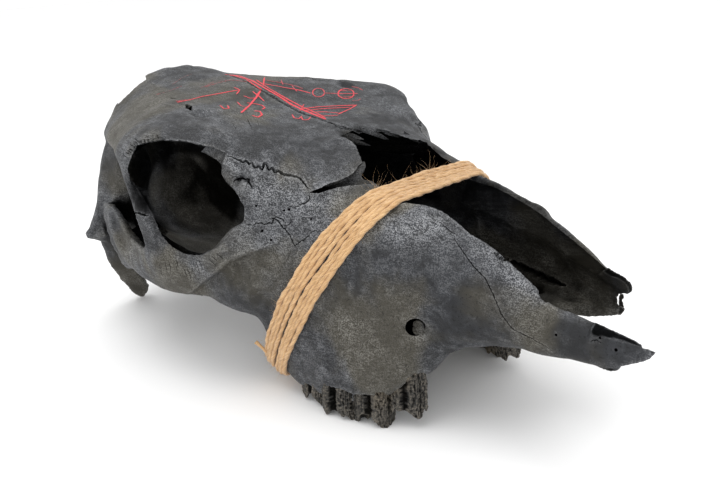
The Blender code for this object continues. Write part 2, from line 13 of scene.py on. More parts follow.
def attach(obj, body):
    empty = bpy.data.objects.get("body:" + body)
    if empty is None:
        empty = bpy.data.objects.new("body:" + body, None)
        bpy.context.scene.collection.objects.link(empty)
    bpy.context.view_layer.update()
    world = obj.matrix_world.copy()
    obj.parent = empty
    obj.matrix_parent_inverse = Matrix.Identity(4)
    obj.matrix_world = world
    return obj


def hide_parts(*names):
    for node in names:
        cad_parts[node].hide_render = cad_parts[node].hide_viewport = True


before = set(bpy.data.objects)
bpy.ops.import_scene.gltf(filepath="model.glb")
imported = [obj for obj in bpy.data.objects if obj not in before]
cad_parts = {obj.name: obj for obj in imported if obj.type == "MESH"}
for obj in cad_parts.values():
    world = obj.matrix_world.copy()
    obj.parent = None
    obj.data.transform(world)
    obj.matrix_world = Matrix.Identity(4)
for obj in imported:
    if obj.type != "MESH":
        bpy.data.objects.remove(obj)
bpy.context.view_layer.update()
MM = 0.001

# The camera stands to the front right of the animal and a little above it, as the photographer did.
# Its place comes from the skull's symmetry, and pixels below are those of a 720 by 480 picture.
azimuth, elevation, roll = (math.radians(angle) for angle in (-44.697, 19.16, -2.792))
focal_px = 847.24
picture_width, centre_x, centre_y = 720, 360, 240
back = Vector((math.sin(azimuth) * math.cos(elevation), -math.cos(azimuth) * math.cos(elevation),
               math.sin(elevation)))
level_right = Vector((math.cos(azimuth), math.sin(azimuth), 0.0))
level_up = back.cross(level_right)
right = level_right * math.cos(roll) + level_up * math.sin(roll)
up = level_up * math.cos(roll) - level_right * math.sin(roll)
eye = Vector((0.0, -7.0, 70.0)) - level_right * 2.263 - level_up * 1.73 + back * 451.86
camera = bpy.data.objects.new("camera", bpy.data.cameras.new("camera"))
camera.data.sensor_width = 36.0
camera.data.lens = focal_px / picture_width * camera.data.sensor_width
camera.matrix_world = Matrix((
    (right.x, up.x, back.x, eye.x * MM), (right.y, up.y, back.y, eye.y * MM),
    (right.z, up.z, back.z, eye.z * MM), (0.0, 0.0, 0.0, 1.0)))
bpy.context.scene.collection.objects.link(camera)
bpy.context.scene.camera = camera


def sight(px, py):
    """The direction in which the camera sees a pixel."""
    return (right * (px - centre_x) - up * (py - centre_y) - back * focal_px).normalized()


# The cranium: one dry bone, burnt and stained black, with the sutures of a young animal still open.
# It starts as the solid's own skin, made fine and smooth, and is then carved.
def alone(item):
    """Select one object only."""
    bpy.ops.object.select_all(action="DESELECT")
    item.select_set(True)
    bpy.context.view_layer.objects.active = item


def linked(name, data):
    """A new object in the scene."""
    item = bpy.data.objects.new(name, data)
    bpy.context.scene.collection.objects.link(item)
    return item


def on_whole_mesh(item, *tools):
    """Run tools of the mesh editor on all of a mesh, each given with its settings."""
    alone(item)
    bpy.ops.object.mode_set(mode="EDIT")
    bpy.ops.mesh.select_all(action="SELECT")
    for tool, settings in tools:
        tool(**settings)
    bpy.ops.object.mode_set(mode="OBJECT")


def solid_copy(name, node):
    """A copy of a solid's skin, its loose triangles joined."""
    item = linked(name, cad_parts[node].data.copy())
    item.data.materials.clear()
    on_whole_mesh(item, (bpy.ops.mesh.remove_doubles, {"threshold": 0.000001}),
                  (bpy.ops.mesh.customdata_custom_splitnormals_clear, {}))
    return item


def modify(item, kind, **settings):
    """Add a modifier and apply it at once."""
    alone(item)
    modifier = item.modifiers.new(kind.lower(), kind)
    for key, value in settings.items():
        setattr(modifier, key, value)
    bpy.ops.object.modifier_apply(modifier=modifier.name)


def numbers_of(parts, name, kind, width):
    values = np.empty(len(parts) * width, dtype=kind)
    parts.foreach_get(name, values)
    return values.reshape(-1, width)


def points_of(item):
    """The vertices, in millimetres."""
    return numbers_of(item.data.vertices, "co", np.float32, 3).astype(float) / MM


def set_points(item, points):
    item.data.vertices.foreach_set("co", (points * MM).astype(np.float32).ravel())
    item.data.update()


def normals_of(item):
    return numbers_of(item.data.vertex_normals, "vector", np.float32, 3).astype(float)


def edges_of(item):
    return numbers_of(item.data.edges, "vertices", np.int32, 2)


def averaged(values, edges):
    """Each vertex's values, averaged over its neighbours."""
    count = np.bincount(edges.ravel(), minlength=len(values))
    columns = values.reshape(len(values), -1)
    total = np.empty_like(columns)
    for column in range(columns.shape[1]):
        other = np.concatenate([columns[edges[:, 1], column], columns[edges[:, 0], column]])
        total[:, column] = np.bincount(np.concatenate([edges[:, 0], edges[:, 1]]), other, len(values))
    return (total / np.maximum(count, 1)[:, None]).reshape(values.shape)


def relax(item, rounds, held=None, shrink=0.5, grow=0.52):
    """Smooth a skin and keep its volume. A vertex with held 1 stays where it is."""
    points, edges = points_of(item), edges_of(item)
    free = 1.0 if held is None else (1.0 - held)[:, None]
    for _ in range(rounds):
        points += shrink * free * (averaged(points, edges) - points)
        points -= grow * free * (averaged(points, edges) - points)
    set_points(item, points)


def within(points, centre, radii):
    """1 at the centre of an egg-shaped region, falling smoothly to 0 at its edge."""
    reach = (((points - np.array(centre)) / np.array(radii)) ** 2).sum(axis=1)
    return np.clip(1.0 - reach, 0.0, 1.0) ** 2


def rise(values, start, width):
    """0 up to a start, 1 from a width beyond it, and a straight slope between."""
    return np.clip((values - start) / width, 0.0, 1.0)


def both_sides(place):
    return [np.array(place) * (sign, 1, 1) for sign in (1, -1)]


class Skin:
    """A skin that rays can be cast on."""

    def __init__(self, item):
        self.tree = BVHTree.FromObject(item, bpy.context.evaluated_depsgraph_get())

    def seen(self, px, py):
        """The place and the normal of what the camera sees at a pixel, in millimetres."""
        place, normal, _, _ = self.tree.ray_cast(eye * MM, sight(px, py))
        if place is None:
            return None, None
        return np.array(place) / MM, np.array(normal)

    def near(self, place):
        found, normal, _, _ = self.tree.find_nearest(Vector(place) * MM)
        return np.array(found) / MM, np.array(normal)

    def nearest(self, points):
        """The nearest places on the skin, and how far off they are."""
        closest = np.array([self.near(place)[0] for place in points])
        return closest, np.linalg.norm(closest - points, axis=1)


def joined(items):
    alone(items[0])
    for item in items:
        item.select_set(True)
    bpy.ops.object.join()
    return items[0]


def combine(item, tool, operation="DIFFERENCE"):
    """Cut a closed mesh out of another, add it, or keep what the two share. The tool is used up."""
    modify(item, "BOOLEAN", operation=operation, solver="MANIFOLD", object=tool)
    bpy.data.objects.remove(tool)


def solid_mesh(name, solids):
    """One mesh from several solids: each is a row of rings, and the triangles that close its two ends."""
    mesh_data = bmesh.new()
    for rows, ends in solids:
        rings = [[mesh_data.verts.new(Vector(point) * MM) for point in row] for row in rows]
        size = len(rings[0])
        for low, high in zip(rings, rings[1:]):
            for index in range(size):
                following = (index + 1) % size
                mesh_data.faces.new((low[index], low[following], high[following], high[index]))
        for ring in (rings[0], rings[-1]):
            for triangle in ends:
                mesh_data.faces.new([ring[index] for index in triangle])
    bmesh.ops.triangulate(mesh_data, faces=mesh_data.faces)
    bmesh.ops.recalc_face_normals(mesh_data, faces=mesh_data.faces)
    mesh = bpy.data.meshes.new(name)
    mesh_data.to_mesh(mesh)
    mesh_data.free()
    return linked(name, mesh)


class Plane:
    """The plane that fits some anchors best: places in millimetres, or pixels at which the bone is seen.
    A pixel's third number is how far beyond the bone the plane lies there."""

    def __init__(self, anchors):
        places = [np.array(anchor) if isinstance(anchor, Vector) else self.behind(*anchor)
                  for anchor in anchors]
        places = np.array([place for place in places if place is not None])
        self.middle = places.mean(axis=0)
        self.facing = np.linalg.svd(places - self.middle)[2][2] if len(places) > 1 else np.array(back)
        self.facing *= np.sign(self.facing @ np.array(back))

    @staticmethod
    def behind(px, py, beyond=0.0):
        """A place so far beyond the bone that is seen at a pixel."""
        place = skin.seen(px, py)[0]
        return None if place is None else place + np.array(sight(px, py)) * beyond

    def at(self, px, py, beyond=0.0):
        way = np.array(sight(px, py))
        reach = ((self.middle - np.array(eye)) @ self.facing) / (way @ self.facing)
        return np.array(eye) + way * (reach + beyond)


def mirrored(solid):
    rows, ends = solid
    return [[(-point[0], point[1], point[2]) for point in row] for row in rows], ends


def plate(outline, anchors, thickness):
    """A slab of bone in the plane of its anchors. A third number sinks a corner of its outline."""
    plane = Plane(anchors)
    top = [plane.at(*corner) for corner in outline]
    ends = tessellate_polygon([[Vector((corner[0], corner[1], 0)) for corner in outline]])
    return [top, [place - plane.facing * thickness for place in top]], ends


def window(outline, anchors, front, behind):
    """A cutter along the line of sight, from in front of the plane of its anchors to behind it."""
    plane = Plane(anchors)
    ends = tessellate_polygon([[Vector((px, py, 0)) for px, py in outline]])
    return [[plane.at(px, py, reach) for px, py in outline] for reach in (-front, behind)], ends


chance = np.random.default_rng(7)
cranium = solid_copy("skull_cranium", "cranium")
skin = Skin(cranium)
# Bone that the plain solid lacks, as slabs: its outline and its anchors in pixels, how thick it is, and
# whether the hidden side has it too.
additions = [
    # the rounded lobe at the front of the forehead
    ([(318, 150), (330, 134), (346, 134), (357, 141), (362, 150), (366, 163), (360, 172), (348, 182),
      (330, 188), (316, 194), (312, 180)], [(318, 178), (330, 165), (345, 160), (340, 148), (322, 160)], 3.6,
      False),
    # the lip of the tear bone at the front of the eye socket
    ([(232, 150), (225, 156, 1), (220, 164, 2), (220, 174, 2), (226, 183, 2), (233, 190, 2), (240, 201, 1),
      (250, 206), (256, 190), (253, 165), (243, 156)], [(248, 166), (254, 180), (248, 196), (258, 192)], 5.0,
      True),
    # the sloping inner side of the socket's lower rim
    ([(129, 184), (138, 187, 3), (146, 200, 5), (152, 213, 6), (157, 225, 6), (164, 236, 6), (174, 247, 5),
      (186, 254, 4), (200, 256, 3), (213, 249, 2), (222, 243, 1), (228, 250), (205, 268), (180, 270),
      (152, 262), (143, 240), (134, 212)], [(133, 200), (138, 216), (150, 247), (178, 266), (163, 259),
      (190, 266)], 4.0, True),
    # the wall of the braincase, which reaches down behind that rim
    ([(172, 236), (190, 230), (215, 226), (226, 236), (214, 256), (190, 262), (176, 258)], [(200, 240),
      (185, 246), (210, 236), (205, 243)], 7.0, True),
    # the broad bridge from the cheek to the ear
    ([(102, 203), (109, 205), (116, 214), (125, 229), (138, 247), (155, 258), (152, 267), (128, 269),
      (120, 262), (111, 243), (104, 222)], [Vector((-75.3, 120.8, 77.5)), Vector((-82, 101.5, 62)),
      Vector((-87.2, 67.2, 64.7)), Vector((-75.3, 120.8, 60)), Vector((-87.2, 67.2, 50)),
      Vector((-81.5, 101.5, 50))], 4.0, True),
    # the process beside the neck joint, which hangs down behind, and the one behind the ear
    ([(103, 241), (108, 262), (120, 279), (134, 294), (142, 297.5), (148.5, 292), (143, 281), (138, 275),
      (128, 264), (120, 246)], [Vector((-59, 162, 39)), Vector((-52, 155, 39)), Vector((-40, 168, 7)),
      Vector((-33, 161, 7))], 6.0, True),
    ([(92, 220), (101, 220), (105, 235), (97, 238), (86, 238.5), (84.5, 231), (90, 227)], [(92, 230),
      (95, 228), (98, 222)], 5.0, True),
    # the blunt, broken tip of the snout on the near side
    ([(590, 326), (605, 327), (622, 334), (641, 342), (658, 351), (657, 359), (645, 364), (620, 369),
      (612, 374), (590, 366)], [(600, 352), (615, 350), (626, 352), (608, 361)], 7.0, False),
    # the top edge of the upper jaw in front of the twine
    ([(398, 200), (413, 201.5), (433, 204.5), (450, 212.5), (462, 222), (474, 232), (480, 244), (470, 252),
      (445, 240), (420, 226), (400, 214)], [(410, 218), (428, 230), (443, 242), (418, 230)], 3.4, True),
    # the two prongs at the far end of the snout
    ([(603, 269), (614, 266.5), (627, 274.5), (638, 281), (640.5, 291), (635, 299), (618, 301), (603, 292)],
      [(600, 274), (604, 284), (612, 280), (608, 278)], 3.2, False),
    ([(592, 299), (612, 296), (620, 300), (634, 311), (622, 319), (606, 319.5), (586, 319)], [(600, 300),
      (606, 306), (598, 310), (612, 302)], 3.2, False),
]
# the two incisive bones are fused with it while it is shaped, and parted from it again at the end
suture_gap = 1.7
incisives = []
for side_name in ("right", "left"):
    bone = solid_copy("incisive_shape_" + side_name, "incisive_" + side_name)
    points = points_of(bone)
    closest, gap = skin.nearest(points)
    overlap = np.where(gap < suture_gap, 1.0 + 0.5 / np.maximum(gap, 0.2), 0.0)
    set_points(bone, points + (closest - points) * overlap[:, None])
    incisives.append(bone)
cranium = joined([cranium, *incisives])
skin = Skin(cranium)
solids = []
for outline, anchors, thickness, paired in additions:
    solids.append(plate(outline, anchors, thickness))
    if paired:
        solids.append(mirrored(solids[-1]))
cranium = joined([cranium, solid_mesh("slabs", solids)])
bone_voxel = 1.25
modify(cranium, "REMESH", mode="VOXEL", voxel_size=bone_voxel * MM)
# thin edges and bars keep more of their shape: the broken edge of the forehead, the bar behind the
# eye socket, the bridge to the ear, the processes beside the neck joint and the front of the snout
thin_places = [((-36, -20, 113), (30, 30, 14)), ((-84, 70, 92), (14, 26, 48)), ((-74, 115, 65), (22, 40, 26)),
               ((-45, 165, 25), (26, 20, 42)), ((-14, -150, 40), (30, 60, 40))]
points = points_of(cranium)
held = np.zeros(len(points))
for centre, radii in thin_places:
    for place in both_sides(centre):
        held = np.maximum(held, np.minimum(1.0, 2 * within(points, place, radii)))
relax(cranium, 5)
relax(cranium, 20, held)
# the plain solid's flat faces are rounded off on the crown, and no real bone is quite even
round_off = np.clip(2 * within(points_of(cranium), (0, 75, 128), (105, 125, 62)), 0, 1)
relax(cranium, 36, 1.0 - round_off, 0.5, 0.0)
points, normals = points_of(cranium), normals_of(cranium)
lumps = [0.55 * noise.noise(Vector(place / 15)) + 0.3 * noise.noise(Vector(place / 6)) for place in points]
set_points(cranium, points + normals * np.array(lumps)[:, None])

# Soft dents (below zero) and swellings, each by the pixel that it shows at, its radius and its height,
# and whether the hidden side has it too.
swellings = [
    (236, 276, 14, -2.6, True), (262, 299, 9, -2.2, True), (352, 334, 24, -2.2, True),
    (318, 374, 12, 1.4, True), (392, 372, 14, 0.9, True), (228, 196, 4, -1.0, True),
    (300, 150, 26, -1.0, True), (420, 240, 20, 0.8, True), (182, 203, 36, 14.0, True),
    (136, 168, 18, -9.0, True), (133, 192, 14, -7.0, True), (152, 149, 13, -6.0, True),
    (160, 110, 16, 1.2, True), (210, 128, 18, 0.8, True), (250, 186, 6, 0.8, True),
    (262, 246, 12, 1.2, True), (188, 67.5, 8, 1.6, False), (165, 71, 8, 1.2, False),
    (214, 76, 17, -3.4, False), (393, 90, 20, 1.6, False), (346, 84, 7, -2.6, True),
    (444, 158, 20, -1.6, False), (243, 187, 5, 1.2, True), (462, 168, 16, -1.6, False),
    (540, 350, 12, 1.2, False), (611, 367, 7, 1.5, False), (122, 103, 12, 2.0, False),
    (176, 70, 12, 0.8, False), (107, 128, 5, -0.8, False),
]
skin = Skin(cranium)
points, normals = points_of(cranium), normals_of(cranium)
for px, py, radius, height, paired in swellings:
    centre, facing = skin.seen(px, py)
    for sign in (1, -1) if paired else (1,):
        push = facing * (sign, 1, 1)
        share = within(points, centre * (sign, 1, 1), (radius,) * 3) * np.clip(normals @ push * 2, 0, 1)
        points += (height * share)[:, None] * push
set_points(cranium, points)


def stroke(pixels, step=1.0, wander=0.0):
    """Pixels along a line, step apart, each moved sideways by up to wander."""
    out = []
    for start, end in zip(pixels, pixels[1:]):
        run = math.dist(start, end)
        count = max(1, round(run / step))
        for index in range(count):
            share = index / count
            side = wander * (2 * chance.random() - 1)
            out.append((start[0] + (end[0] - start[0]) * share + side * (start[1] - end[1]) / run,
                        start[1] + (end[1] - start[1]) * share + side * (end[0] - start[0]) / run))
    out.append(pixels[-1])
    return out


def laid(pixels, step=1.0, wander=0.0):
    """A line of pixels on the skin, as places with normals."""
    found = [skin.seen(px, py) for px, py in stroke(pixels, step, wander)]
    return [(place, normal) for place, normal in found if place is not None]


# Long ridges and hollows: the line's pixels, the width and height, and the side of the line that moves
# (to the right of its way is 1, to the left -1, both 0).
ridges = [
    ([(196, 291), (205, 283), (214, 275), (227, 264), (242, 257), (256, 252)], 9.0, -4.2, 1),
    ([(318, 350), (323, 362), (332, 371), (346, 378)], 3.5, 0.9, 0),
    ([(330, 300), (325, 320), (327, 340), (336, 356), (350, 364)], 7.0, -0.9, 0),
    ([(150, 104), (160, 101), (172, 104)], 5.0, 0.9, 0), ([(128, 150), (126, 175), (130, 200)], 3.0, 0.6, 0),
    ([(478, 214), (481, 224), (480, 234)], 1.6, 2.2, 0),
    ([(236, 179), (242, 177.6), (248, 180), (252, 186)], 2.2, -2.2, 0),
    ([(150, 118), (175, 116), (200, 118), (225, 124)], 7.0, -0.7, 0),
    ([(470, 236), (487, 246), (503, 260), (520, 275), (537, 291)], 3.0, 0.8, 0),
    ([(233, 228), (248, 236), (262, 252), (266, 270)], 5.0, 0.8, 0),
]
points, normals = points_of(cranium), normals_of(cranium)
for pixels, width, height, side in ridges:
    path = laid(pixels, 2.0)
    for sign in (1, -1):
        places = np.array([place for place, _ in path]) * (sign, 1, 1)
        facings = np.array([facing for _, facing in path]) * (sign, 1, 1)
        headings = np.gradient(places, axis=0)
        middle = places.mean(axis=0)
        reach = np.linalg.norm(places - middle, axis=1).max() + 3 * width
        near = np.flatnonzero(((points - middle) ** 2).sum(axis=1) < reach ** 2)
        apart = points[near][:, None] - places[None]
        best = (apart ** 2).sum(axis=2).argmin(axis=1)
        apart = apart[np.arange(len(near)), best]
        share = np.exp(-(apart ** 2).sum(axis=1) / width ** 2) * np.clip(
            (normals[near] * facings[best]).sum(axis=1) * 2, 0, 1)
        if side:
            turn = (np.cross(headings[best], apart) * facings[best]).sum(axis=1)
            turn /= np.linalg.norm(headings[best], axis=1)
            share *= np.clip(0.5 - side * sign * turn / 1.6, 0, 1)
        points[near] += (height * share)[:, None] * facings[best]
set_points(cranium, points)
relax(cranium, 2)

# Openings cut along the line of sight: the outline and its anchors in pixels, how far in front of them
# and behind them it reaches, how ragged it is, and whether the hidden side has it too.
socket_rim = [
    (131, 158), (137, 145), (149, 141.5), (162, 139.5), (187, 141), (214, 147.5), (226, 153), (224, 160),
    (220.5, 168), (222, 176), (229, 183), (234, 190), (240, 199), (240, 208), (238, 215), (233, 225),
    (222, 239), (212, 249), (199, 255.5), (183, 253.5), (172, 247), (162, 236), (157, 225), (152, 213),
    (146, 203), (139, 190), (131, 184), (127.5, 168.6),
]
rim_anchors = [
    Vector((-70, 5, 120)), Vector((-90, 71.7, 116)), Vector((-90, 71.7, 75)), Vector((-70, 5, 70)),
]
skin = Skin(cranium)
openings = [
    (socket_rim, rim_anchors, 20, 9, 0.5, True),
    ([(128.5, 172), (129, 163), (132, 157), (137.5, 146), (149, 142.5), (162, 140.5), (187, 142),
      (206, 146.5), (200, 153), (187, 151), (170, 153), (158, 160), (150, 172), (146, 190), (137, 186),
      (131, 180)], rim_anchors, 18, 24, 0.3, True),
    ([(308.5, 192.6), (318, 189), (328.8, 183.9), (336, 181.6), (344.1, 178.2), (350, 175), (355.5, 170.5),
      (358, 166), (361.8, 162.9), (361, 157), (357.5, 151.4), (356, 146), (351.7, 141.8), (346, 138),
      (341, 135.4), (352, 131), (372, 138), (378, 160), (372, 184), (352, 185.5), (340, 187), (329, 189.6),
      (318, 193.6)], [(318, 178), (330, 165), (345, 160), (340, 148)], 14, 30, 0.4, False),
    ([(343, 136.5), (350, 134.5), (356, 135.5), (363.3, 132), (372, 131), (380, 132), (388, 131.6),
      (399, 135), (411.6, 139.5), (420, 140), (427, 142.5), (430, 152), (400, 154), (362, 150)],
      [Vector((0, -10, 129)), Vector((22, -23, 121.5)), Vector((0, -10, 112)), Vector((22, -23, 106))], 6,
      31, 0.5, False),
    ([(424, 144), (430, 146), (436, 152), (441, 156.5), (452, 163), (462, 168), (452, 182), (420, 172),
      (412, 156)], [Vector((30, -30, 110)), Vector((30, -60, 95)), Vector((30, -40, 88))], 12, 14, 0.3,
      True),
    ([(468, 179), (483, 184), (494, 187), (509, 194.4), (525, 203.8), (542, 215), (560, 230), (577, 243.5),
      (594, 258), (606, 268.5), (596, 276), (570, 258), (540, 238), (510, 226), (480, 218), (460, 204)],
      [(500, 222), (540, 240), (575, 262), (494, 190, 7), (540, 217, 7), (590, 259, 7)], 14, 0.01, 0.2,
      True),
    ([(398, 204.6), (406, 202.8), (413.7, 204), (424, 205), (433.2, 207.8), (441, 211), (448.2, 215.6),
      (459.8, 224.7), (469.7, 233.8), (486.3, 243), (498, 232), (470, 200), (430, 190), (398, 192)],
      [(410, 218), (428, 230), (443, 242), (418, 230)], 10, 9, 0.3, False),
    ([(635.5, 340.8), (641, 344.6), (642.5, 348), (649, 349.4), (655.4, 352.4), (654, 355), (650, 358.5),
      (643.8, 361.5), (632, 364.2), (621.4, 366.5), (617.3, 370.6), (610.7, 371.4), (600, 368), (586, 363.2),
      (586, 384), (672, 384), (672, 326), (640, 322), (600, 305), (585, 312), (586, 318.2), (602.4, 325.6),
      (619, 333.2)], [(628, 352), (615, 350), (605, 356), (622, 362)], 22, 22, 0.3, False),
    ([(610.7, 269.5), (623.9, 277), (633, 284.4), (634.7, 291), (632.2, 294.4), (625, 293.6), (619, 294),
      (617, 297), (617.6, 303), (620, 306.6), (624, 307.4), (628.9, 310.9), (625, 312.6), (620.6, 315),
      (613, 315.2), (607.3, 315.9), (590, 316.4), (576, 316), (576, 330), (650, 330), (650, 250),
      (612, 255)], [(600, 278), (606, 286), (600, 300), (604, 308)], 20, 20, 0.5, False),
    ([(292, 373), (296, 376), (300, 378.6), (307, 383), (313, 385), (321.4, 387.5), (329, 386),
      (335.7, 387.5), (345, 391), (353.6, 394.6), (364, 394.4), (375, 396.3), (383, 394), (389.3, 393.6),
      (395, 391), (402, 389), (410, 390), (414.3, 394), (414, 412), (380, 412), (345, 408), (315, 398),
      (292, 388)], [(315, 365), (350, 355), (385, 368), (350, 384)], 12, 8, 0.7, True),
    ([(118, 104), (128, 94.6), (137.4, 85.4), (146, 79.7), (145, 74.9), (151, 71.6), (158.3, 68.3),
      (158, 55), (112, 70)], [Vector((-26, 150, 140))], 70, 60, 0.3, False),
]
batches = ([], [])
for index, (outline, anchors, front, behind, ragged, paired) in enumerate(openings):
    solid = window(stroke(outline + outline[:1], 2.0, ragged)[:-1], anchors, front, behind)
    batches[index % 2].extend([solid, mirrored(solid)] if paired else [solid])
for solids in batches:
    combine(cranium, solid_mesh("cutter", solids))

# Splinters that still hang on the broken edge of the forehead, each a thin plate.
splinters = [
    ([(336, 127), (345, 131), (355, 134.5), (364, 139.5), (358, 139.8), (348, 137), (338, 133)], 1.4),
    ([(340, 133), (352, 138.5), (362, 141.5), (371, 145.8), (358, 144.8), (346, 141)], 1.2),
    ([(360, 127), (370, 129.5), (382, 134.5), (389, 139.5), (384, 139.5), (374, 136), (362, 132)], 1.2),
    ([(376, 128), (390, 131), (402, 136), (398, 137.6), (386, 134.4)], 1.2),
    ([(404, 131), (414, 137), (420, 143), (412, 140.5), (404, 136)], 1.1),
    ([(376, 147), (384, 147.5), (391, 150), (389, 153), (380, 153.5), (375, 151)], 1.2),
]
skin = Skin(cranium)
edge_pixels = ((346, 131), (366, 129), (386, 129.5), (408, 135.5))
edge_places = [Vector(skin.seen(px, py)[0]) for px, py in edge_pixels]
edge_places += [place - Vector((0, 0, 12)) for place in edge_places]
shards = [plate(outline, edge_places, thickness) for outline, thickness in splinters]
combine(cranium, solid_mesh("shards", shards), "UNION")


def blade(path, width, depth, lift=1.2):
    """A wedge that cuts a crack: it follows a path on the skin and goes in along its normal."""
    rows = []
    places = [Vector(place) for place, _ in path]
    for index, (place, normal) in enumerate(path):
        ahead = places[min(index + 1, len(path) - 1)] - places[max(index - 1, 0)]
        side = ahead.cross(Vector(normal)).normalized()
        taper = math.sin(math.pi * (index + 0.4) / (len(path) - 0.2)) ** 0.5
        half = width * 0.5 * taper * (0.75 + 0.5 * chance.random())
        top = Vector(place) + Vector(normal) * lift
        spread = half * (1 + lift / depth)
        rows.append([top - side * spread, top + side * spread,
                     Vector(place) - Vector(normal) * depth * (0.4 + 0.6 * taper)])
    return rows, [(0, 1, 2)]


# Cracks and open sutures, each with its pixels, its width and depth in millimetres, how much it
# wanders, and whether the hidden side has it too.
cracks = [
    ([(224, 72.5), (236, 77.5), (244.6, 80.6), (261.8, 90.2), (281, 101.7), (300.1, 112.2), (325, 120.8),
      (347.9, 128.5), (361, 132.3)], 2.4, 6.0, 0.3, False),
    ([(226, 155.5), (232, 157), (236, 159), (240, 160), (243, 162.5), (246, 160.5), (249, 164), (252, 162.5),
      (255, 167.5), (259, 166), (262, 169.5), (264.5, 163), (266.5, 163.5), (269, 170), (272, 167.5),
      (274.5, 172), (278, 170.5), (283, 174), (292, 175.3), (299, 177.5), (304, 183), (307.7, 188),
      (308.6, 193.5)], 1.6, 7.0, 0.3, True),
    ([(309.4, 195), (309.6, 199), (305.8, 203), (298, 205)], 0.9, 2.5, 0.4, True),
    ([(237, 225), (241, 226.5), (246.5, 225), (252, 224.6), (258, 223), (264, 223.8), (271, 223),
      (275, 218.4), (278, 221), (281, 226), (286, 230), (290.5, 236.6), (295, 246), (300, 241), (305.8, 239),
      (313.4, 230.6), (323, 231.6)], 0.8, 2.0, 0.7, True),
    ([(133, 212.5), (138, 213), (143, 214.5), (149, 216)], 1.2, 3.0, 0.4, False),
    ([(127.8, 268), (134, 269.5), (140, 269), (146, 267)], 1.0, 2.0, 0.3, True),
    ([(452, 228), (455, 240), (463, 252), (474.7, 267.8), (484.7, 277.8), (494.6, 297.7), (501.2, 314.2),
      (512.8, 329.2), (532.7, 339.1), (547.7, 347.4), (554, 353)], 0.7, 1.6, 0.35, True),
    ([(247, 119), (252, 128)], 0.4, 0.8, 0.3, False), ([(233, 123), (236, 130)], 0.35, 0.8, 0.3, False),
    ([(257, 120), (259, 126)], 0.35, 0.7, 0.3, False), ([(145, 80), (147, 83)], 0.8, 1.5, 0.3, False),
    ([(494, 252), (501, 257), (510, 262), (522, 268), (535, 274), (549, 280), (566, 286)], 4.6, 6.0, 0.6,
      False),
    ([(160, 103), (167, 105), (174, 104)], 0.4, 0.8, 0.4, False),
    ([(186.4, 104), (187.6, 105.4), (189, 107.2), (190.4, 109), (191.6, 110.6)], 3.4, 4.5, 0.2, True),
    ([(170.4, 97.8), (173, 98.3), (175.8, 98.4)], 1.9, 2.4, 0.1, True),
    ([(179, 104), (183, 104.6), (187, 104.8)], 0.9, 1.4, 0.3, True),
    ([(233, 181.5), (237, 179), (242, 178), (247, 179.6), (250, 183.4), (252, 188)], 1.6, 2.6, 0.3, True),
    ([(285, 205), (292, 207), (299, 206), (304, 203)], 0.5, 1.0, 0.5, False),
    ([(284, 226), (289, 224.6), (291, 221), (289, 216.6)], 0.6, 1.2, 0.4, False),
    ([(270, 219.6), (276, 217), (282, 219), (286, 224)], 0.7, 1.2, 0.4, False),
    ([(440, 222), (447, 228), (452, 233), (459, 234)], 0.6, 0.9, 0.5, False),
    ([(330, 122), (338, 127), (349, 129.6), (362, 131)], 0.9, 2.0, 0.5, False),
    ([(590, 341), (596, 340), (601, 343)], 0.5, 0.8, 0.4, False),
]
# short radial cracks across the rim of the socket: the middle pixel of a group, the way that the cracks
# run, how many there are, and how wide the group is
rim_cracks = [
    (132, 153, -4, -3, 5, 14), (150, 141, -1, -4, 5, 20), (138, 146, -4, -4, 4, 10), (168, 262, 2, 9, 5, 22),
    (190, 264, 4, 11, 5, 22), (212, 256, 6, 6, 3, 12),
]
for x, y, dx, dy, count, spread in rim_cracks:
    for index in range(count):
        along = (index + chance.random() * 0.6) / count - 0.5
        run = math.hypot(dx, dy)
        x0, y0 = x - dy / run * spread * along, y + dx / run * spread * along
        reach = 0.6 + 0.8 * chance.random()
        cracks.append(([(x0, y0), (x0 + dx * reach * 0.5 + chance.random(), y0 + dy * reach * 0.5),
                        (x0 + dx * reach, y0 + dy * reach)], 0.5 + 0.3 * chance.random(), 1.1, 0.3, True))
# the skin before the cracks are cut tells later what lies in them
skin = uncracked = Skin(cranium)
edge_middle = sum((np.array(place) for place in edge_places[:4])) / 4
solids = []
for pixels, width, depth, wander, paired in cracks:
    path = laid(pixels, 1.6, wander)
    if len(path) < 3:
        continue
    solids.append(blade(path, width, depth))
    if paired:
        solids.append(mirrored(solids[-1]))
combine(cranium, solid_mesh("blades", solids))

# Holes for nerves and vessels: the pixel, the radius and depth, and how the hole leans, in pixels.
foramina = [
    (414.0, 325.5, 4.6, 13.0, (-7, 1)), (189.0, 106.6, 1.6, 6.0, (-5, -5)),
    (420.4, 326.8, 4.4, 2.6, (-6, 0)), (240.7, 180.0, 1.0, 3.0, (-4, 3)), (262.0, 231.0, 0.7, 1.5, (0, 0)),
    (271.0, 240.0, 0.6, 1.5, (0, 0)), (256.0, 206.0, 0.6, 1.5, (0, 0)), (289.0, 209.5, 0.7, 1.5, (0, 0)),
    (284.0, 210.5, 0.6, 1.2, (0, 0)), (311.0, 219.0, 0.6, 1.2, (0, 0)), (600.0, 338.0, 0.55, 1.2, (0, 0)),
    (616.0, 350.0, 0.7, 1.2, (0, 0)), (556.0, 335.0, 0.6, 1.2, (0, 0)), (393.0, 186.0, 0.7, 1.5, (0, 0)),
]
holes, bores = ([], []), []
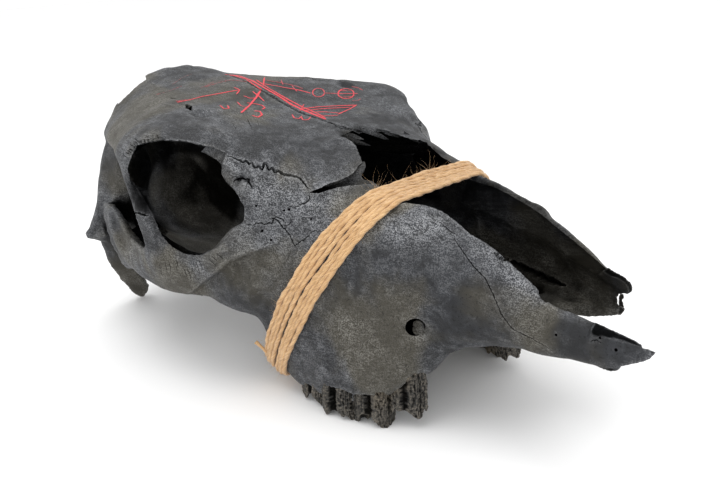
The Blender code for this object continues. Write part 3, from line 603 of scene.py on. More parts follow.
for index, (px, py, radius, depth, lean) in enumerate(foramina):
    place, normal = skin.seen(px, py)
    aside = Plane([(px - 3, py), (px + 3, py - 2), (px, py + 3)]).at(px + 0.5 * lean[0], py + 0.5 * lean[1])
    axis = Vector(normal) * -depth + Vector(aside - place)
    for sign in (1, -1):
        bpy.ops.mesh.primitive_ico_sphere_add(subdivisions=3, radius=1.0)
        egg = bpy.context.object
        heading = Vector((axis.x * sign, axis.y, axis.z))
        turn = heading.to_track_quat("Z", "Y").to_matrix().to_4x4()
        middle = Matrix.Translation(Vector(place * (sign, 1, 1)) * MM)
        egg.data.transform(middle @ turn @ Matrix.Diagonal((radius * MM, radius * MM, depth * MM, 1)))
        holes[index % 2].append(egg)
        bores.append((place * (sign, 1, 1), np.array(heading.normalized()), radius, depth))
for eggs in holes:
    combine(cranium, joined(eggs))


# How the bone looks: shade is painted into its hollows, and handling has worn its raised edges paler.
def open_shares(item, rays=14, reach=60.0):
    """A finder of how much of what is around a place is open air, from 0 to 1, made on a coarse copy."""
    coarse = linked("coarse", item.data.copy())
    modify(coarse, "REMESH", mode="VOXEL", voxel_size=2.6 * MM)
    tree = BVHTree.FromObject(coarse, bpy.context.evaluated_depsgraph_get())
    places, facings = points_of(coarse), normals_of(coarse)
    golden = math.pi * (3 - math.sqrt(5))
    spread = []
    for index, rise_of_ray in enumerate((np.arange(rays) + 0.5) / rays):
        flat = math.sqrt(1 - rise_of_ray * rise_of_ray)
        spread.append(Vector((flat * math.cos(golden * index), flat * math.sin(golden * index), rise_of_ray)))
    shares = np.zeros(len(places))
    finder = KDTree(len(places))
    for index, (place, facing) in enumerate(zip(places, facings)):
        turn = Vector(facing).to_track_quat("Z", "Y")
        start = Vector((place + facing * 1.5) * MM)
        shares[index] = sum(tree.ray_cast(start, turn @ way, reach * MM)[0] is None for way in spread) / rays
        finder.insert(place, index)
    finder.balance()
    bpy.data.objects.remove(coarse)
    return lambda points: np.array([np.mean([shares[index] for _, index, _ in finder.find_n(place, 3)])
                                    for place in points])


def sharpness(item, rounds):
    """How far each vertex stands out from its neighbours, in millimetres, smoothed over rounds of them."""
    points, edges, normals = points_of(item), edges_of(item), normals_of(item)
    soft = points.copy()
    for _ in range(rounds):
        soft = averaged(soft, edges)
    return ((points - soft) * normals).sum(axis=1)


def keep_on_vertices(item, name, values):
    attribute = item.data.attributes.new(name, "FLOAT", "POINT")
    attribute.data.foreach_set("value", values.astype(np.float32))


def pixels_of(points):
    """Where the camera sees some places."""
    apart = points - np.array(eye)
    depth = -(apart @ np.array(back))
    return np.stack([centre_x + focal_px * (apart @ np.array(right)) / depth,
                     centre_y - focal_px * (apart @ np.array(up)) / depth], axis=1)


def inside(pixels, outline, soft):
    """1 inside an outline and 0 outside it, with a soft edge."""
    corners = np.array(outline, dtype=float)
    distance = np.full(len(pixels), 1e9)
    odd = np.zeros(len(pixels), dtype=bool)
    for start, end in zip(corners, np.roll(corners, -1, axis=0)):
        way = end - start
        share = np.clip(((pixels - start) @ way) / (way @ way), 0, 1)
        distance = np.minimum(distance, np.linalg.norm(pixels - start - share[:, None] * way, axis=1))
        if start[1] != end[1]:
            crosses = (start[1] > pixels[:, 1]) != (end[1] > pixels[:, 1])
            odd ^= crosses & (pixels[:, 0] < start[0] + (pixels[:, 1] - start[1]) * way[0] / way[1])
    return np.clip(0.5 + np.where(odd, distance, -distance) / soft, 0, 1)


dome = [
    (149, 222), (148.5, 205), (149, 190), (151, 178), (156, 166), (163, 159), (172, 155), (187, 153),
    (200, 156), (207, 163), (206, 175), (203, 188), (208, 200), (220, 212), (233, 222), (224, 238),
    (212, 249), (199, 255), (183, 253), (170, 249), (158, 240), (151, 232),
]
# Places darkened with painted shade: their outline, how much of the bone's own tone stays there, how soft the
# edge is, a box of three ranges in millimetres that they lie in, and whether the hidden side has them too.
everywhere = ((-99, 99), (-200, 200), (-1, 160))
painted_shade_places = [
    ([(121, 214), (128, 206), (136, 214), (142, 238), (151, 257), (146, 259), (137, 250), (127, 236)], 0.4,
      3, ((-82, -20), (60, 200), (30, 120)), True),
    ([(129, 176), (134, 176), (143, 188), (151, 206), (154, 212), (148, 213.6), (137.5, 212), (133, 200)],
      0.3, 3, everywhere, True),
    ([(420, 160), (500, 186), (486, 214), (470, 226), (440, 208), (400, 196)], 0.35, 9,
      ((-36, 40), (-90, 60), (40, 106)), False),
]
# the gap behind the broken edge of the forehead, which is painted black as shade
broken_edge = [
    (341, 133), (363, 131.5), (380, 132), (412, 139), (429, 142), (452, 160), (470, 170), (460, 200),
    (372, 200), (345, 186), (330, 190), (309, 195), (330, 184), (344, 178), (355.5, 170.5), (361, 163),
    (357.5, 151), (351, 142),
]
# Paler places (above zero), partly dust and partly painted light, and darker ones, partly darker bone and
# partly painted shade, by their pixel, radius and strength.
dust_and_shading_spots = [
    (262, 192, 13, 0.55), (285, 188, 10, 0.35), (308, 212, 12, 0.5), (330, 200, 10, 0.3), (232, 168, 7, 0.6),
    (245, 240, 9, 0.45), (275, 240, 10, 0.35), (400, 226, 14, 0.5), (425, 232, 12, 0.45), (440, 222, 8, 0.4),
    (160, 103, 8, 0.4), (128, 142, 8, 0.3), (345, 168, 7, 0.25), (320, 178, 8, 0.2), (345, 325, 8, 0.3),
    (420, 336, 4, 0.5), (520, 278, 6, 0.35), (540, 296, 5, 0.3), (200, 268, 7, 0.3), (175, 262, 6, 0.25),
    (130, 250, 9, 0.3), (115, 200, 8, 0.25), (355, 215, 12, 0.35), (225, 112, 16, 0.15), (487, 251, 7, 0.3),
    (504, 267, 7, 0.35), (521, 283, 7, 0.35), (538, 297, 7, 0.3), (556, 313, 6, 0.25), (490, 243, 14, 0.5),
    (520, 258, 9, 0.3), (432, 146, 8, -0.6), (346, 84, 6, -0.6), (460, 330, 16, -0.3), (330, 240, 12, 0.25),
    (300, 262, 9, 0.2), (395, 190, 8, 0.35), (340, 290, 12, -0.2), (420, 262, 14, -0.25),
    (250, 96, 16, -0.2), (210, 96, 14, -0.15), (340, 110, 14, -0.15), (150, 92, 10, 0.1),
    (400, 108, 10, 0.1), (465, 300, 20, -0.35), (500, 335, 12, -0.25), (620, 352, 16, -0.5),
    (590, 340, 12, -0.35), (560, 325, 12, -0.25), (300, 142, 13, -0.28), (330, 150, 10, -0.15),
    (170, 120, 10, -0.25), (112, 165, 13, -0.6), (118, 190, 8, 0.1), (222, 285, 10, -0.2),
    (118, 262, 12, -0.45), (106, 245, 8, -0.3), (136, 288, 8, -0.5), (240, 285, 12, -0.25),
    (262, 302, 8, -0.35), (375, 260, 14, -0.25), (400, 130, 10, -0.3), (548, 262, 9, 0.5),
    (575, 296, 14, 0.3), (140, 172, 6, -0.3), (500, 192, 16, -0.7), (540, 220, 16, -0.7),
    (575, 245, 14, -0.6), (605, 272, 12, -0.6), (445, 158, 12, -0.6), (143, 203, 6, -0.5),
]
# Olive places (above zero) and slate ones, in the same way.
tints = [
    (325, 150, 24, -1.2), (285, 138, 20, -0.7), (262, 150, 16, -0.6), (210, 122, 14, -0.3),
    (150, 100, 18, 0.5), (115, 180, 18, 0.6), (120, 240, 16, 0.7), (125, 276, 16, 0.5), (165, 268, 14, 0.3),
    (222, 282, 20, 0.6), (262, 205, 22, -0.4), (310, 215, 22, -0.5), (335, 250, 18, -0.4),
    (415, 228, 22, -0.9), (425, 262, 18, -0.6), (360, 300, 22, 0.6), (350, 345, 26, 0.7),
    (400, 350, 20, 0.4), (460, 300, 18, -0.3), (480, 325, 16, 0.4), (525, 320, 16, 0.5),
    (600, 345, 20, -0.3), (500, 262, 10, -0.6), (390, 110, 20, 0.2), (340, 105, 20, 0.2),
    (190, 200, 30, 0.9), (500, 245, 14, 0.9), (548, 262, 12, 1.2),
]
shares_at = open_shares(cranium)


def shade_bone(item):
    """Keep on a bone's vertices how clear of painted shade they are, how worn, their dust and painted
    shading, and how warm in tone.
    """
    places, facings = points_of(item), normals_of(item)
    folded = np.column_stack([-np.abs(places[:, 0]), places[:, 1:]])
    shown, shown_folded = pixels_of(places), pixels_of(folded)
    # painted shade: the bone is darker where little open air lies around it
    clear = rise(shares_at(places), 0.38, 0.45)
    # painted shade on the walls of the nose, which face inward
    inward = np.clip(-facings[:, 0] * np.sign(places[:, 0]) * 2.5, 0, 1) * (np.abs(places[:, 0]) < 34)
    clear *= 1 - 0.55 * inward * (places[:, 1] < 12) * (places[:, 2] > 52)
    # painted shade in the depth of the eye socket, lighter on the wall of the braincase, where a little light
    # still falls
    depth = (folded - socket_plane.middle) @ socket_plane.facing
    lit = 0.03 + 0.45 * inside(shown_folded, dome, 2.5)
    clear *= 1 - rise(-depth, 5.0, 4.0) * inside(shown_folded, socket_rim, 3.0) * (1 - lit)
    # painted shade in the places listed above
    for outline, kept, soft, box, paired in painted_shade_places:
        boxed = np.all([(places[:, axis] > low) & (places[:, axis] < high)
                        for axis, (low, high) in enumerate(box)], axis=0)
        clear *= 1 - (1 - kept) * boxed * inside(shown_folded if paired else shown, outline, soft)
    # painted shade, nearly black, in the cracks, the gap behind the broken edge and the holes
    cut = np.array([uncracked.tree.find_nearest(Vector(place) * MM)[3] / MM for place in places])
    clear *= 1 - 0.93 * rise(cut, 0.08, 0.25)
    beyond_edge = -((places - edge_middle) @ np.array(back))
    clear *= 1 - 0.93 * rise(beyond_edge, 4.0, 3.0) * inside(shown, broken_edge, 3.0) * (
        np.abs(places[:, 0]) < 60)
    for place, heading, radius, length in bores:
        apart = places - place
        along = apart @ heading
        away = np.linalg.norm(apart - along[:, None] * heading, axis=1)
        bored = (away < radius * 1.1) * (along < length * 1.1)
        clear *= 1 - 0.95 * rise(along, 0.15 * radius, 0.7 * radius) * bored
    # dust, painted light and painted shade, spot by spot, and warmth
    dust_and_painted_shading, warmth = np.zeros(len(places)), np.zeros(len(places))
    outer = (places[:, 0] < 0) | (facings[:, 0] > -0.1)
    for centre, radius, strength in dust_and_shading_places:
        paired = centre[0] < 0
        reach = (((folded if paired else places) - centre) ** 2).sum(axis=1) / radius ** 2
        dust_and_painted_shading += strength * np.exp(-1.6 * reach) * (outer if paired else 1.0)
    for centre, radius, strength in tint_places:
        warmth += strength * np.exp(-1.6 * ((folded - centre) ** 2).sum(axis=1) / radius ** 2)
    for name, values in (("clear_of_painted_shade", clear), ("edge", rise(sharpness(item, 3), 0.06, 0.3)), ("dust_and_painted_shading", dust_and_painted_shading),
                         ("warmth", warmth)):
        keep_on_vertices(item, name, values)


def placed(table):
    """The spots of a table with their places on the bone, without those that miss it."""
    found = [(skin.seen(px, py)[0], radius, strength) for px, py, radius, strength in table]
    return [spot for spot in found if spot[0] is not None]


skin = Skin(cranium)
dust_and_shading_places = placed(dust_and_shading_spots)
tint_places = [(place * (-np.sign(place[0]), 1, 1), radius, strength)
               for place, radius, strength in placed(tints)]
socket_plane = Plane(rim_anchors)


def plug(node, inputs):
    """Set the inputs of a node, or link the outputs of others to them."""
    for socket, value in inputs.items():
        if isinstance(value, bpy.types.NodeSocket):
            node.id_data.links.new(value, node.inputs[socket])
        else:
            node.inputs[socket].default_value = value
    return node


def new_material(name):
    """A material, its shader, and a function that adds nodes to it."""
    material = bpy.data.materials.new(name)
    material.use_nodes = True
    tree = material.node_tree

    def add(kind, inputs=(), **settings):
        node = tree.nodes.new(kind)
        for key, value in settings.items():
            setattr(node, key, value)
        return plug(node, dict(inputs))
    return material, tree.nodes["Principled BSDF"], add


def clouds(add, vector, scale, detail, roughness=0.5, distortion=0.0):
    """The level of a noise pattern."""
    return add("ShaderNodeTexNoise", {"Vector": vector, "Scale": scale, "Detail": detail,
                                      "Roughness": roughness, "Distortion": distortion}).outputs["Fac"]


def stored(add, name, output="Fac"):
    """A value kept on the vertices."""
    return add("ShaderNodeAttribute", attribute_name=name).outputs[output]


def smooth_step(add, value, low, high):
    return add("ShaderNodeMapRange", {"Value": value, "From Min": low, "From Max": high},
               interpolation_type="SMOOTHSTEP").outputs["Result"]


def bone_material(name, deep, mid, pale, brown, roughness):
    """Stained bone: grain and speckle over patches of slate and olive, with painted shade in the hollows."""
    finish, shader, add = new_material(name)
    place = add("ShaderNodeTexCoord").outputs["Object"]
    lengthwise = add("ShaderNodeMapping", {"Vector": place, "Scale": (1.0, 0.2, 1.0)}).outputs["Vector"]
    patches = clouds(add, place, 38.0, 6.0, 0.62)
    blots = clouds(add, place, 130.0, 5.0, 0.6, 0.7)
    tint = clouds(add, place, 19.0, 4.0, 0.5, 0.5)
    fibre = clouds(add, lengthwise, 1000.0, 3.0, 0.6, 1.2)
    speckle = clouds(add, place, 1900.0, 2.0, 0.6)
    pores = clouds(add, place, 900.0, 2.0)
    clear_of_painted_shade, edge, dust_and_painted_shading, warmth = (stored(add, kept) for kept in ("clear_of_painted_shade", "edge", "dust_and_painted_shading", "warmth"))

    def blend(factor, first, second, mode="MIX"):
        return add("ShaderNodeMix", {0: factor, 6: first, 7: second}, data_type="RGBA", blend_type=mode,
                   clamp_factor=True).outputs[2]

    def sums(operation, *values, clamp=False):
        return add("ShaderNodeMath", dict(enumerate(values)), operation=operation, use_clamp=clamp).outputs[0]

    grain = sums("ADD", sums("MULTIPLY", speckle, 0.6), sums("MULTIPLY", fibre, 0.4))
    speck = smooth_step(add, grain, 0.455, 0.575)
    uneven = sums("MULTIPLY_ADD", blots, 0.5, sums("MULTIPLY", patches, 0.5))
    ground = blend(smooth_step(add, uneven, 0.38, 0.62), deep, mid)
    warm = smooth_step(add, sums("MULTIPLY_ADD", warmth, 0.16, tint), 0.44, 0.60)
    ground = blend(warm, ground, brown)
    # pale dust lies as specks, thicker in some patches, in the spots of dust and painted light and on the
    # worn edges
    amount = sums("MULTIPLY_ADD", smooth_step(add, uneven, 0.40, 0.62), 0.42, 0.12)
    amount = sums("MULTIPLY_ADD", dust_and_painted_shading, 0.85, amount, clamp=True)
    dusting = blend(warm, pale, (pale[0] * 0.95, pale[1] * 0.90, pale[2] * 0.78, 1))
    colour = blend(sums("MULTIPLY", speck, amount), ground, dusting)
    colour = blend(sums("MULTIPLY", edge, sums("MULTIPLY_ADD", speck, 0.4, 0.12)), colour, dusting)
    # painted shade darkens the hollows, the pores are darker, and the spots of dust and painted shading make
    # it paler in some places and darker in others
    pit = sums("MULTIPLY_ADD", smooth_step(add, pores, 0.30, 0.42), 0.5, 0.5)
    shade = sums("MULTIPLY", sums("MULTIPLY_ADD", clear_of_painted_shade, 0.96, 0.04), pit)
    shade = sums("MULTIPLY", shade, sums("MULTIPLY_ADD", dust_and_painted_shading, 0.35, 1.0))
    painted_shade_colour = add("ShaderNodeCombineColor", {"Red": shade, "Green": shade, "Blue": shade}).outputs["Color"]
    height = sums("MULTIPLY_ADD", pit, 0.8, sums("ADD", grain, sums("MULTIPLY", patches, 0.9)))
    bump = add("ShaderNodeBump", {"Height": height, "Strength": 0.6, "Distance": 0.0006})
    # the painted shade also takes the gloss out of the hollows
    plug(shader, {"Base Color": blend(1.0, colour, painted_shade_colour, "MULTIPLY"), "Roughness": roughness,
                  "Specular IOR Level": sums("MULTIPLY", clear_of_painted_shade, 0.3), "Normal": bump.outputs["Normal"]})
    return finish


bone_finish = bone_material("blackened_bone", (0.012, 0.0125, 0.014, 1), (0.030, 0.032, 0.037, 1),
                            (0.24, 0.245, 0.255, 1), (0.040, 0.036, 0.027, 1), 0.62)


def triangle_count(item):
    return sum(len(face.vertices) - 2 for face in item.data.polygons)


def finish_bone(item, limit=190000):
    """Shade a bone, thin its mesh out to a number of triangles, and give it its material."""
    shade_bone(item)
    if triangle_count(item) > limit:
        # triangles are saved in the closed hollows inside first, where nobody can look
        hidden = shares_at(points_of(item)) < 0.1
        group = item.vertex_groups.new(name="hidden")
        for chosen, share in ((hidden, 1.0), (~hidden, 0.0)):
            group.add(np.flatnonzero(chosen).tolist(), share, "REPLACE")
        modify(item, "DECIMATE", ratio=1 - 0.85 * float(hidden.mean()), vertex_group="hidden",
               vertex_group_factor=100.0)
        item.vertex_groups.clear()
        modify(item, "DECIMATE", ratio=min(1.0, limit / triangle_count(item)))
    item.data.materials.clear()
    item.data.materials.append(bone_finish)
    item.data.polygons.foreach_set("material_index", [0] * len(item.data.polygons))
    alone(item)
    bpy.ops.object.shade_smooth_by_angle(angle=math.radians(40))
    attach(item, "root")


def largest_part(item):
    """Keep only the biggest loose part."""
    name = item.name
    on_whole_mesh(item, (bpy.ops.mesh.separate, {"type": "LOOSE"}))
    parts = sorted(bpy.context.selected_objects, key=lambda part: len(part.data.vertices))
    for part in parts[:-1]:
        bpy.data.objects.remove(part)
    parts[-1].name = name
    return parts[-1]


# The two incisive bones, which in a young animal are only held by a toothed suture, are parted from the
# jaw by a shape that is wider than the bone everywhere except at the suture.
cad_skin = Skin(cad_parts["cranium"])
parting_voxel, parting_gap = 1.0, 0.14
for side_name in ("right", "left"):
    shape = solid_copy("parting_shape", "incisive_" + side_name)
    modify(shape, "REMESH", mode="VOXEL", voxel_size=parting_voxel * MM)
    relax(shape, 4)
    points, normals = points_of(shape), normals_of(shape)
    closest, gap = cad_skin.nearest(points)
    away = (points - closest) / np.maximum(gap, 0.1)[:, None]
    at_suture = rise(-gap, -4.0, 2.6)[:, None]
    points += normals * 2.2 * (1 - at_suture) + away * 2.6 * at_suture
    set_points(shape, points)
    modify(shape, "REMESH", mode="VOXEL", voxel_size=parting_voxel * MM)
    relax(shape, 3)
    wider = linked("wider_shape", shape.data.copy())
    set_points(wider, points_of(wider) + normals_of(wider) * parting_gap)
    piece = linked("skull_incisive_" + side_name, cranium.data.copy())
    combine(piece, shape, "INTERSECT")
    combine(cranium, wider)
    piece = largest_part(piece)
    finish_bone(piece)
    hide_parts("incisive_" + side_name)
cranium = largest_part(cranium)
finish_bone(cranium)
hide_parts("cranium")


# The sign painted on the forehead: a traditional stave, brushed on by hand in thin red paint that has
# dried in streaks. Each stroke is a film laid on the bone.
def fresh_mesh(name, vertices, faces):
    """An object made from places in millimetres and the faces between them."""
    mesh = bpy.data.meshes.new(name)
    mesh.from_pydata([tuple(np.asarray(vertex) * MM) for vertex in vertices], [], faces)
    return linked(name, mesh)


def film(name, strokes, lift=0.16):
    """Narrow strips on the skin. Each stroke is its pixels, its width in millimetres and its strength."""
    vertices, faces, strengths = [], [], []
    for pixels, width, strength in strokes:
        path = laid(pixels, 0.7, 0.12)
        start = len(vertices)
        for index, (place, normal) in enumerate(path):
            ahead = path[min(index + 1, len(path) - 1)][0] - path[max(index - 1, 0)][0]
            side = np.cross(ahead, normal)
            side /= max(np.linalg.norm(side), 1e-6)
            taper = min(1.0, 0.35 + 0.35 * min(index, len(path) - 1 - index))
            half = 0.5 * width * taper * (0.8 + 0.4 * chance.random())
            for share in (-1.0, -0.33, 0.33, 1.0):
                spot, facing = skin.near(place + side * half * share * (0.9 + 0.2 * chance.random()))
                vertices.append(spot + facing * lift)
                strengths.append(strength * (1.0 if abs(share) < 0.5 else 0.7))
        for row in range(len(path) - 1):
            for column in range(3):
                low = start + row * 4 + column
                faces.append((low, low + 1, low + 5, low + 4))
    item = fresh_mesh(name, vertices, faces)
    keep_on_vertices(item, "strength", np.array(strengths))
    return item


def ring_of(cx, cy, rx, ry, start=0, end=360, count=16):
    """Pixels round an oval."""
    return [(cx + rx * math.cos(math.radians(angle)), cy + ry * math.sin(math.radians(angle)))
            for angle in np.linspace(start, end, count)]


strokes = [
    # the long bar that runs down the middle of the forehead, and the hooks at its upper end
    ([(225, 74.5), (240, 76.3), (252.5, 81), (262.5, 87), (280, 97), (291, 104.5), (305, 111), (326, 119.6)],
      1.5, 1.0),
    ([(256, 80), (268, 88), (284, 97.4), (300, 106), (318, 114), (325, 118)], 1.0, 0.8),
    ([(232, 75), (246, 79.5), (256, 86), (262, 90)], 1.1, 0.7), ([(264.6, 77.5), (263, 86)], 0.9, 0.8),
    ([(281, 80), (283, 85)], 0.7, 0.5), ([(261, 90), (256, 98), (249, 106), (241, 113)], 1.2, 0.9),
    ([(243.5, 96), (250, 98.5), (256, 98)], 0.8, 0.7),
    ([(252.5, 91.5), (259, 96.5), (264.5, 101.5)], 0.8, 0.8),
    ([(247, 103), (255, 104), (262, 105.5), (265, 108), (262, 109.5)], 0.8, 0.8),
    ([(252, 115.5), (258, 117.5), (262, 115), (260, 111.5), (254, 111)], 0.9, 0.8),
    ([(237, 102), (241, 106), (246, 107)], 0.7, 0.6),
    ([(220, 105.5), (224, 109), (229, 108.5), (227.5, 105.5)], 0.8, 0.75),
    # the arrow that points to the near side, and the faint lines around it
    ([(240, 90), (228, 92), (216, 94.3), (203, 96.5), (190, 100), (177, 102.5)], 0.9, 0.75),
    ([(240, 90), (234, 87.6)], 0.8, 0.7), ([(240, 90), (236.5, 94.5)], 0.8, 0.7),
    ([(247, 82), (231, 80), (218, 83), (205, 87)], 0.8, 0.45),
    ([(228, 79.5), (214, 82), (200, 88.5)], 0.7, 0.35), ([(192, 74), (182, 78), (172, 85)], 0.8, 0.3),
    ([(182, 86), (170, 91), (156, 95)], 0.8, 0.35), ([(175, 101.5), (186, 100)], 0.7, 0.5),
    # the arm with two rings that points to the far side
    ([(264, 84), (276, 86), (289, 88.5), (300, 90.5), (311, 93.5)], 1.0, 0.7),
    ([(266, 80.5), (282, 83), (297, 86.5), (303, 89)], 0.8, 0.5), ([(292, 86), (297, 92)], 0.8, 0.5),
    (ring_of(318.5, 92.8, 6, 4.3), 0.7, 0.6), ([(325, 93.2), (337, 93.8)], 0.7, 0.6),
    (ring_of(346, 93.8, 8, 5), 0.8, 0.7), ([(336, 93.8), (358, 93.8)], 0.8, 0.7),
    ([(339, 91), (354, 90.5)], 0.6, 0.5), ([(340, 97), (353, 97)], 0.6, 0.5),
    ([(352, 86.6), (358, 88), (363, 90.5)], 0.8, 0.5), ([(352, 101), (358, 100.6), (361, 98.5)], 0.8, 0.4),
    # the triangle at the lower end, and two small hooks beside it
    ([(302, 109), (318, 107), (336, 106), (356, 105.3)], 0.9, 0.85),
    ([(304, 111), (322, 109), (340, 108), (350, 107.5)], 0.8, 0.7),
    ([(308, 112.6), (324, 112), (341, 113.5)], 0.9, 0.8), ([(316, 115), (328, 116), (338, 115.6)], 0.8, 0.6),
    ([(357, 105), (349, 109.5), (338, 114.5)], 0.8, 0.7), ([(304, 104.5), (300, 111)], 0.7, 0.6),
    ([(292, 114.5), (294, 118), (299, 119), (302, 116)], 0.8, 0.65),
    ([(301, 116.5), (303, 120), (308, 120), (311, 117)], 0.8, 0.65),
]
skin = Skin(cranium)
sign = film("painted_sign", strokes)
paint, paint_shader, add = new_material("red_paint")
streaks = clouds(add, add("ShaderNodeTexCoord").outputs["Object"], 900.0, 4.0, 0.7)
level = add("ShaderNodeMath", {0: streaks, 1: stored(add, "strength")}, operation="ADD").outputs[0]
stained_bone, red = (0.075, 0.05, 0.052, 1.0), (0.60, 0.035, 0.05, 1.0)
cover = smooth_step(add, level, 0.75, 1.15)
colour = add("ShaderNodeMix", {0: cover, 6: stained_bone, 7: red}, data_type="RGBA").outputs[2]
plug(paint_shader, {"Base Color": colour, "Roughness": 0.6})
sign.data.materials.append(paint)
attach(sign, "root")


# The cheek teeth: milk teeth of a young animal, long crowns with upright ridges and grooves, stained
# black, their worn ends chipped. Each stands in its own socket.
def ring_faces(rows, sides, start=0):
    """The faces between rings of vertices that follow each other."""
    corners = [(low + column, low + (column + 1) % sides)
               for low in range(start, start + (rows - 1) * sides, sides) for column in range(sides)]
    return [(here, following, following + sides, here + sides) for here, following in corners]


def tooth(name, node, centre, turn, length, width, face, gum, side, seed):
    """A tooth with its middle and its turn seen from above, its size, and the heights of its two ends."""
    rng = np.random.default_rng(seed)
    around, levels, top, squareness = 112, 44, gum + 6.0, 0.62
    ridges = [(rng.uniform(0, 2 * math.pi), rng.uniform(0.07, 0.16), rng.uniform(-1.1, 0.9))
              for _ in range(15)]
    chips = [(rng.uniform(0, 2 * math.pi), rng.uniform(0.14, 0.4), rng.uniform(0.8, 3.2)) for _ in range(11)]
    turned = math.radians(turn)

    def bumps(angle, table):
        return sum(height * math.exp(-(math.remainder(angle - place, 2 * math.pi) / spread) ** 2)
                   for place, spread, height in table)

    def spot(angle, reach, level):
        """A place at an angle and a height, with reach 1 on the side of the tooth and 0 in its middle."""
        cos, sin = math.cos(angle), math.sin(angle)
        across = 0.5 * width * math.copysign(abs(cos) ** squareness, cos)
        along = 0.5 * length * math.copysign(abs(sin) ** squareness, sin)
        waist = 1.0 - 0.26 * math.exp(-(along / (0.11 * length)) ** 2) * abs(cos)
        worn = 1.0 - 0.22 * max(0.0, 1.0 - (level - face) / 6.0)
        flare = 1.0 - 0.16 * max(0.0, (level - gum + 2.0) / (top - gum + 2.0)) ** 1.5
        bulge = bumps(angle, ridges)
        rough = noise.noise(Vector((angle * 9, level * 0.35, seed))) * 0.6
        rough += noise.noise(Vector((angle * 5, level * 0.9, seed + 40))) * 0.5
        across = reach * (across * waist * flare * worn + (bulge + rough) * cos)
        along = reach * (along * flare + (bulge * 0.6 + rough) * sin)
        return (side * (centre[0] + across * math.cos(turned) + along * math.sin(turned)),
                centre[1] - across * math.sin(turned) + along * math.cos(turned), level)

    def rim(angle):
        """The height of the worn edge, which is chipped and arched between its two cusps."""
        return face + 4.2 * math.exp(-(math.sin(angle) / 0.3) ** 2) + bumps(angle, chips)

    angles = [2 * math.pi * step / around for step in range(around)]
    rings = [[spot(angle, 1.0, top + (rim(angle) - top) * (row / (levels - 1))) for angle in angles]
             for row in range(levels)]
    grinding_face = ((0.93, 0.0), (0.84, 0.9), (0.70, 2.3), (0.52, 2.9), (0.38, 1.4), (0.2, 2.6))
    for step, (reach, sunk) in enumerate(grinding_face):
        rings.append([spot(angle, reach, rim(angle) + sunk + (0.5 * rng.random() if step else 0))
                      for angle in angles])
    faces = ring_faces(len(rings), around)
    faces += [tuple(range(around)), tuple(range((len(rings) - 1) * around, len(rings) * around))]
    item = fresh_mesh(name, [place for ring in rings for place in ring], faces)
    on_whole_mesh(item, (bpy.ops.mesh.normals_make_consistent, {"inside": False}))
    points = points_of(item)
    points[:, 2] = np.maximum(points[:, 2], 0.0)
    set_points(item, points)
    keep_on_vertices(item, "edge", np.clip(sharpness(item, 4) / 0.22, 0.0, 1.0))
    keep_on_vertices(item, "dust_and_painted_shading", np.zeros(len(item.data.vertices)))
    # painted shade in the grooves between the ridges
    keep_on_vertices(item, "clear_of_painted_shade", np.clip(0.8 + sharpness(item, 6) / 0.35, 0.05, 1.0))
    item.data.materials.append(enamel_finish)
    alone(item)
    bpy.ops.object.shade_smooth_by_angle(angle=math.radians(45))
    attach(item, "root")
    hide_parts(node)


enamel_finish = bone_material("blackened_enamel", (0.008, 0.008, 0.008, 1), (0.030, 0.029, 0.027, 1),
                              (0.20, 0.175, 0.14, 1), (0.05, 0.038, 0.024, 1), 0.45)
# the middle, the turn in degrees, the length and width, and the heights of the worn end and of the gum
tooth_sizes = [
    ((39.8, -70.6), 26, 18.4, 13.0, 5.4, 24.0),
    ((47.8, -56.6), 15, 18.8, 15.4, -1.6, 18.0),
    ((52.2, -39.2), 5, 19.4, 15.8, -1.6, 14.0),
    ((51.6, -22.0), -3, 17.0, 14.0, 0.4, 11.0),
]
for side, side_name in ((-1, "right"), (1, "left")):
    for number, sizes in enumerate(tooth_sizes, start=1):
        tooth(f"cheek_tooth_{side_name}_{number}", f"tooth_{side_name}_{number}", *sizes, side,
              10 * number + side)


# The twine: golden jute of two hairy plies, wound eight times round the snout in a flat band that
# slopes back as it goes down, and pulled tight, so that it bridges every hollow.
turns, pitch, lean, strand_radius, strand_sides = 8, 2.12, 0.6, 1.17, 12
slant = math.hypot(1, lean)
band_middle, band_centre = 10.5, 62.0 * slant
# how far from the band's middle a taut loop runs, for loops across the band and angles round it
bone_points, bone_edges = points_of(cranium), edges_of(cranium)
band_offsets = np.linspace(-17, 17, 25) * slant
band_angles = np.radians(np.arange(0, 360, 2.0))
band_reach = np.zeros((len(band_offsets), len(band_angles)))
for row, offset in enumerate(band_offsets):
    depth = bone_points[:, 1] + lean * bone_points[:, 2] - (band_middle + offset)
    first, second = depth[bone_edges[:, 0]], depth[bone_edges[:, 1]]
    crossing = first * second < 0
    share = (first[crossing] / (first[crossing] - second[crossing]))[:, None]
    low, high = bone_points[bone_edges[crossing, 0]], bone_points[bone_edges[crossing, 1]]
    found = low + (high - low) * share
    outline = np.stack([found[:, 0], found[:, 2] * slant - band_centre], axis=1)
    support = (outline @ np.array([np.cos(band_angles), np.sin(band_angles)])).max(axis=0)
    for column, angle in enumerate(band_angles):
        facing = np.cos(band_angles - angle)
        band_reach[row, column] = (support[facing > 0.05] / facing[facing > 0.05]).min()


def band_radius(offset, angle):
    """How far from its middle the taut loop runs, at a distance across the band and an angle round it."""
    row = np.interp(offset, band_offsets, np.arange(len(band_offsets)))
    column = (angle / band_angles[1]) % len(band_angles)
    r0, c0 = min(int(row), len(band_offsets) - 2), int(column)
    c1 = (c0 + 1) % len(band_angles)
    a, b = row - r0, column - c0
    return ((1 - a) * ((1 - b) * band_reach[r0, c0] + b * band_reach[r0, c1])
            + a * ((1 - b) * band_reach[r0 + 1, c0] + b * band_reach[r0 + 1, c1]))


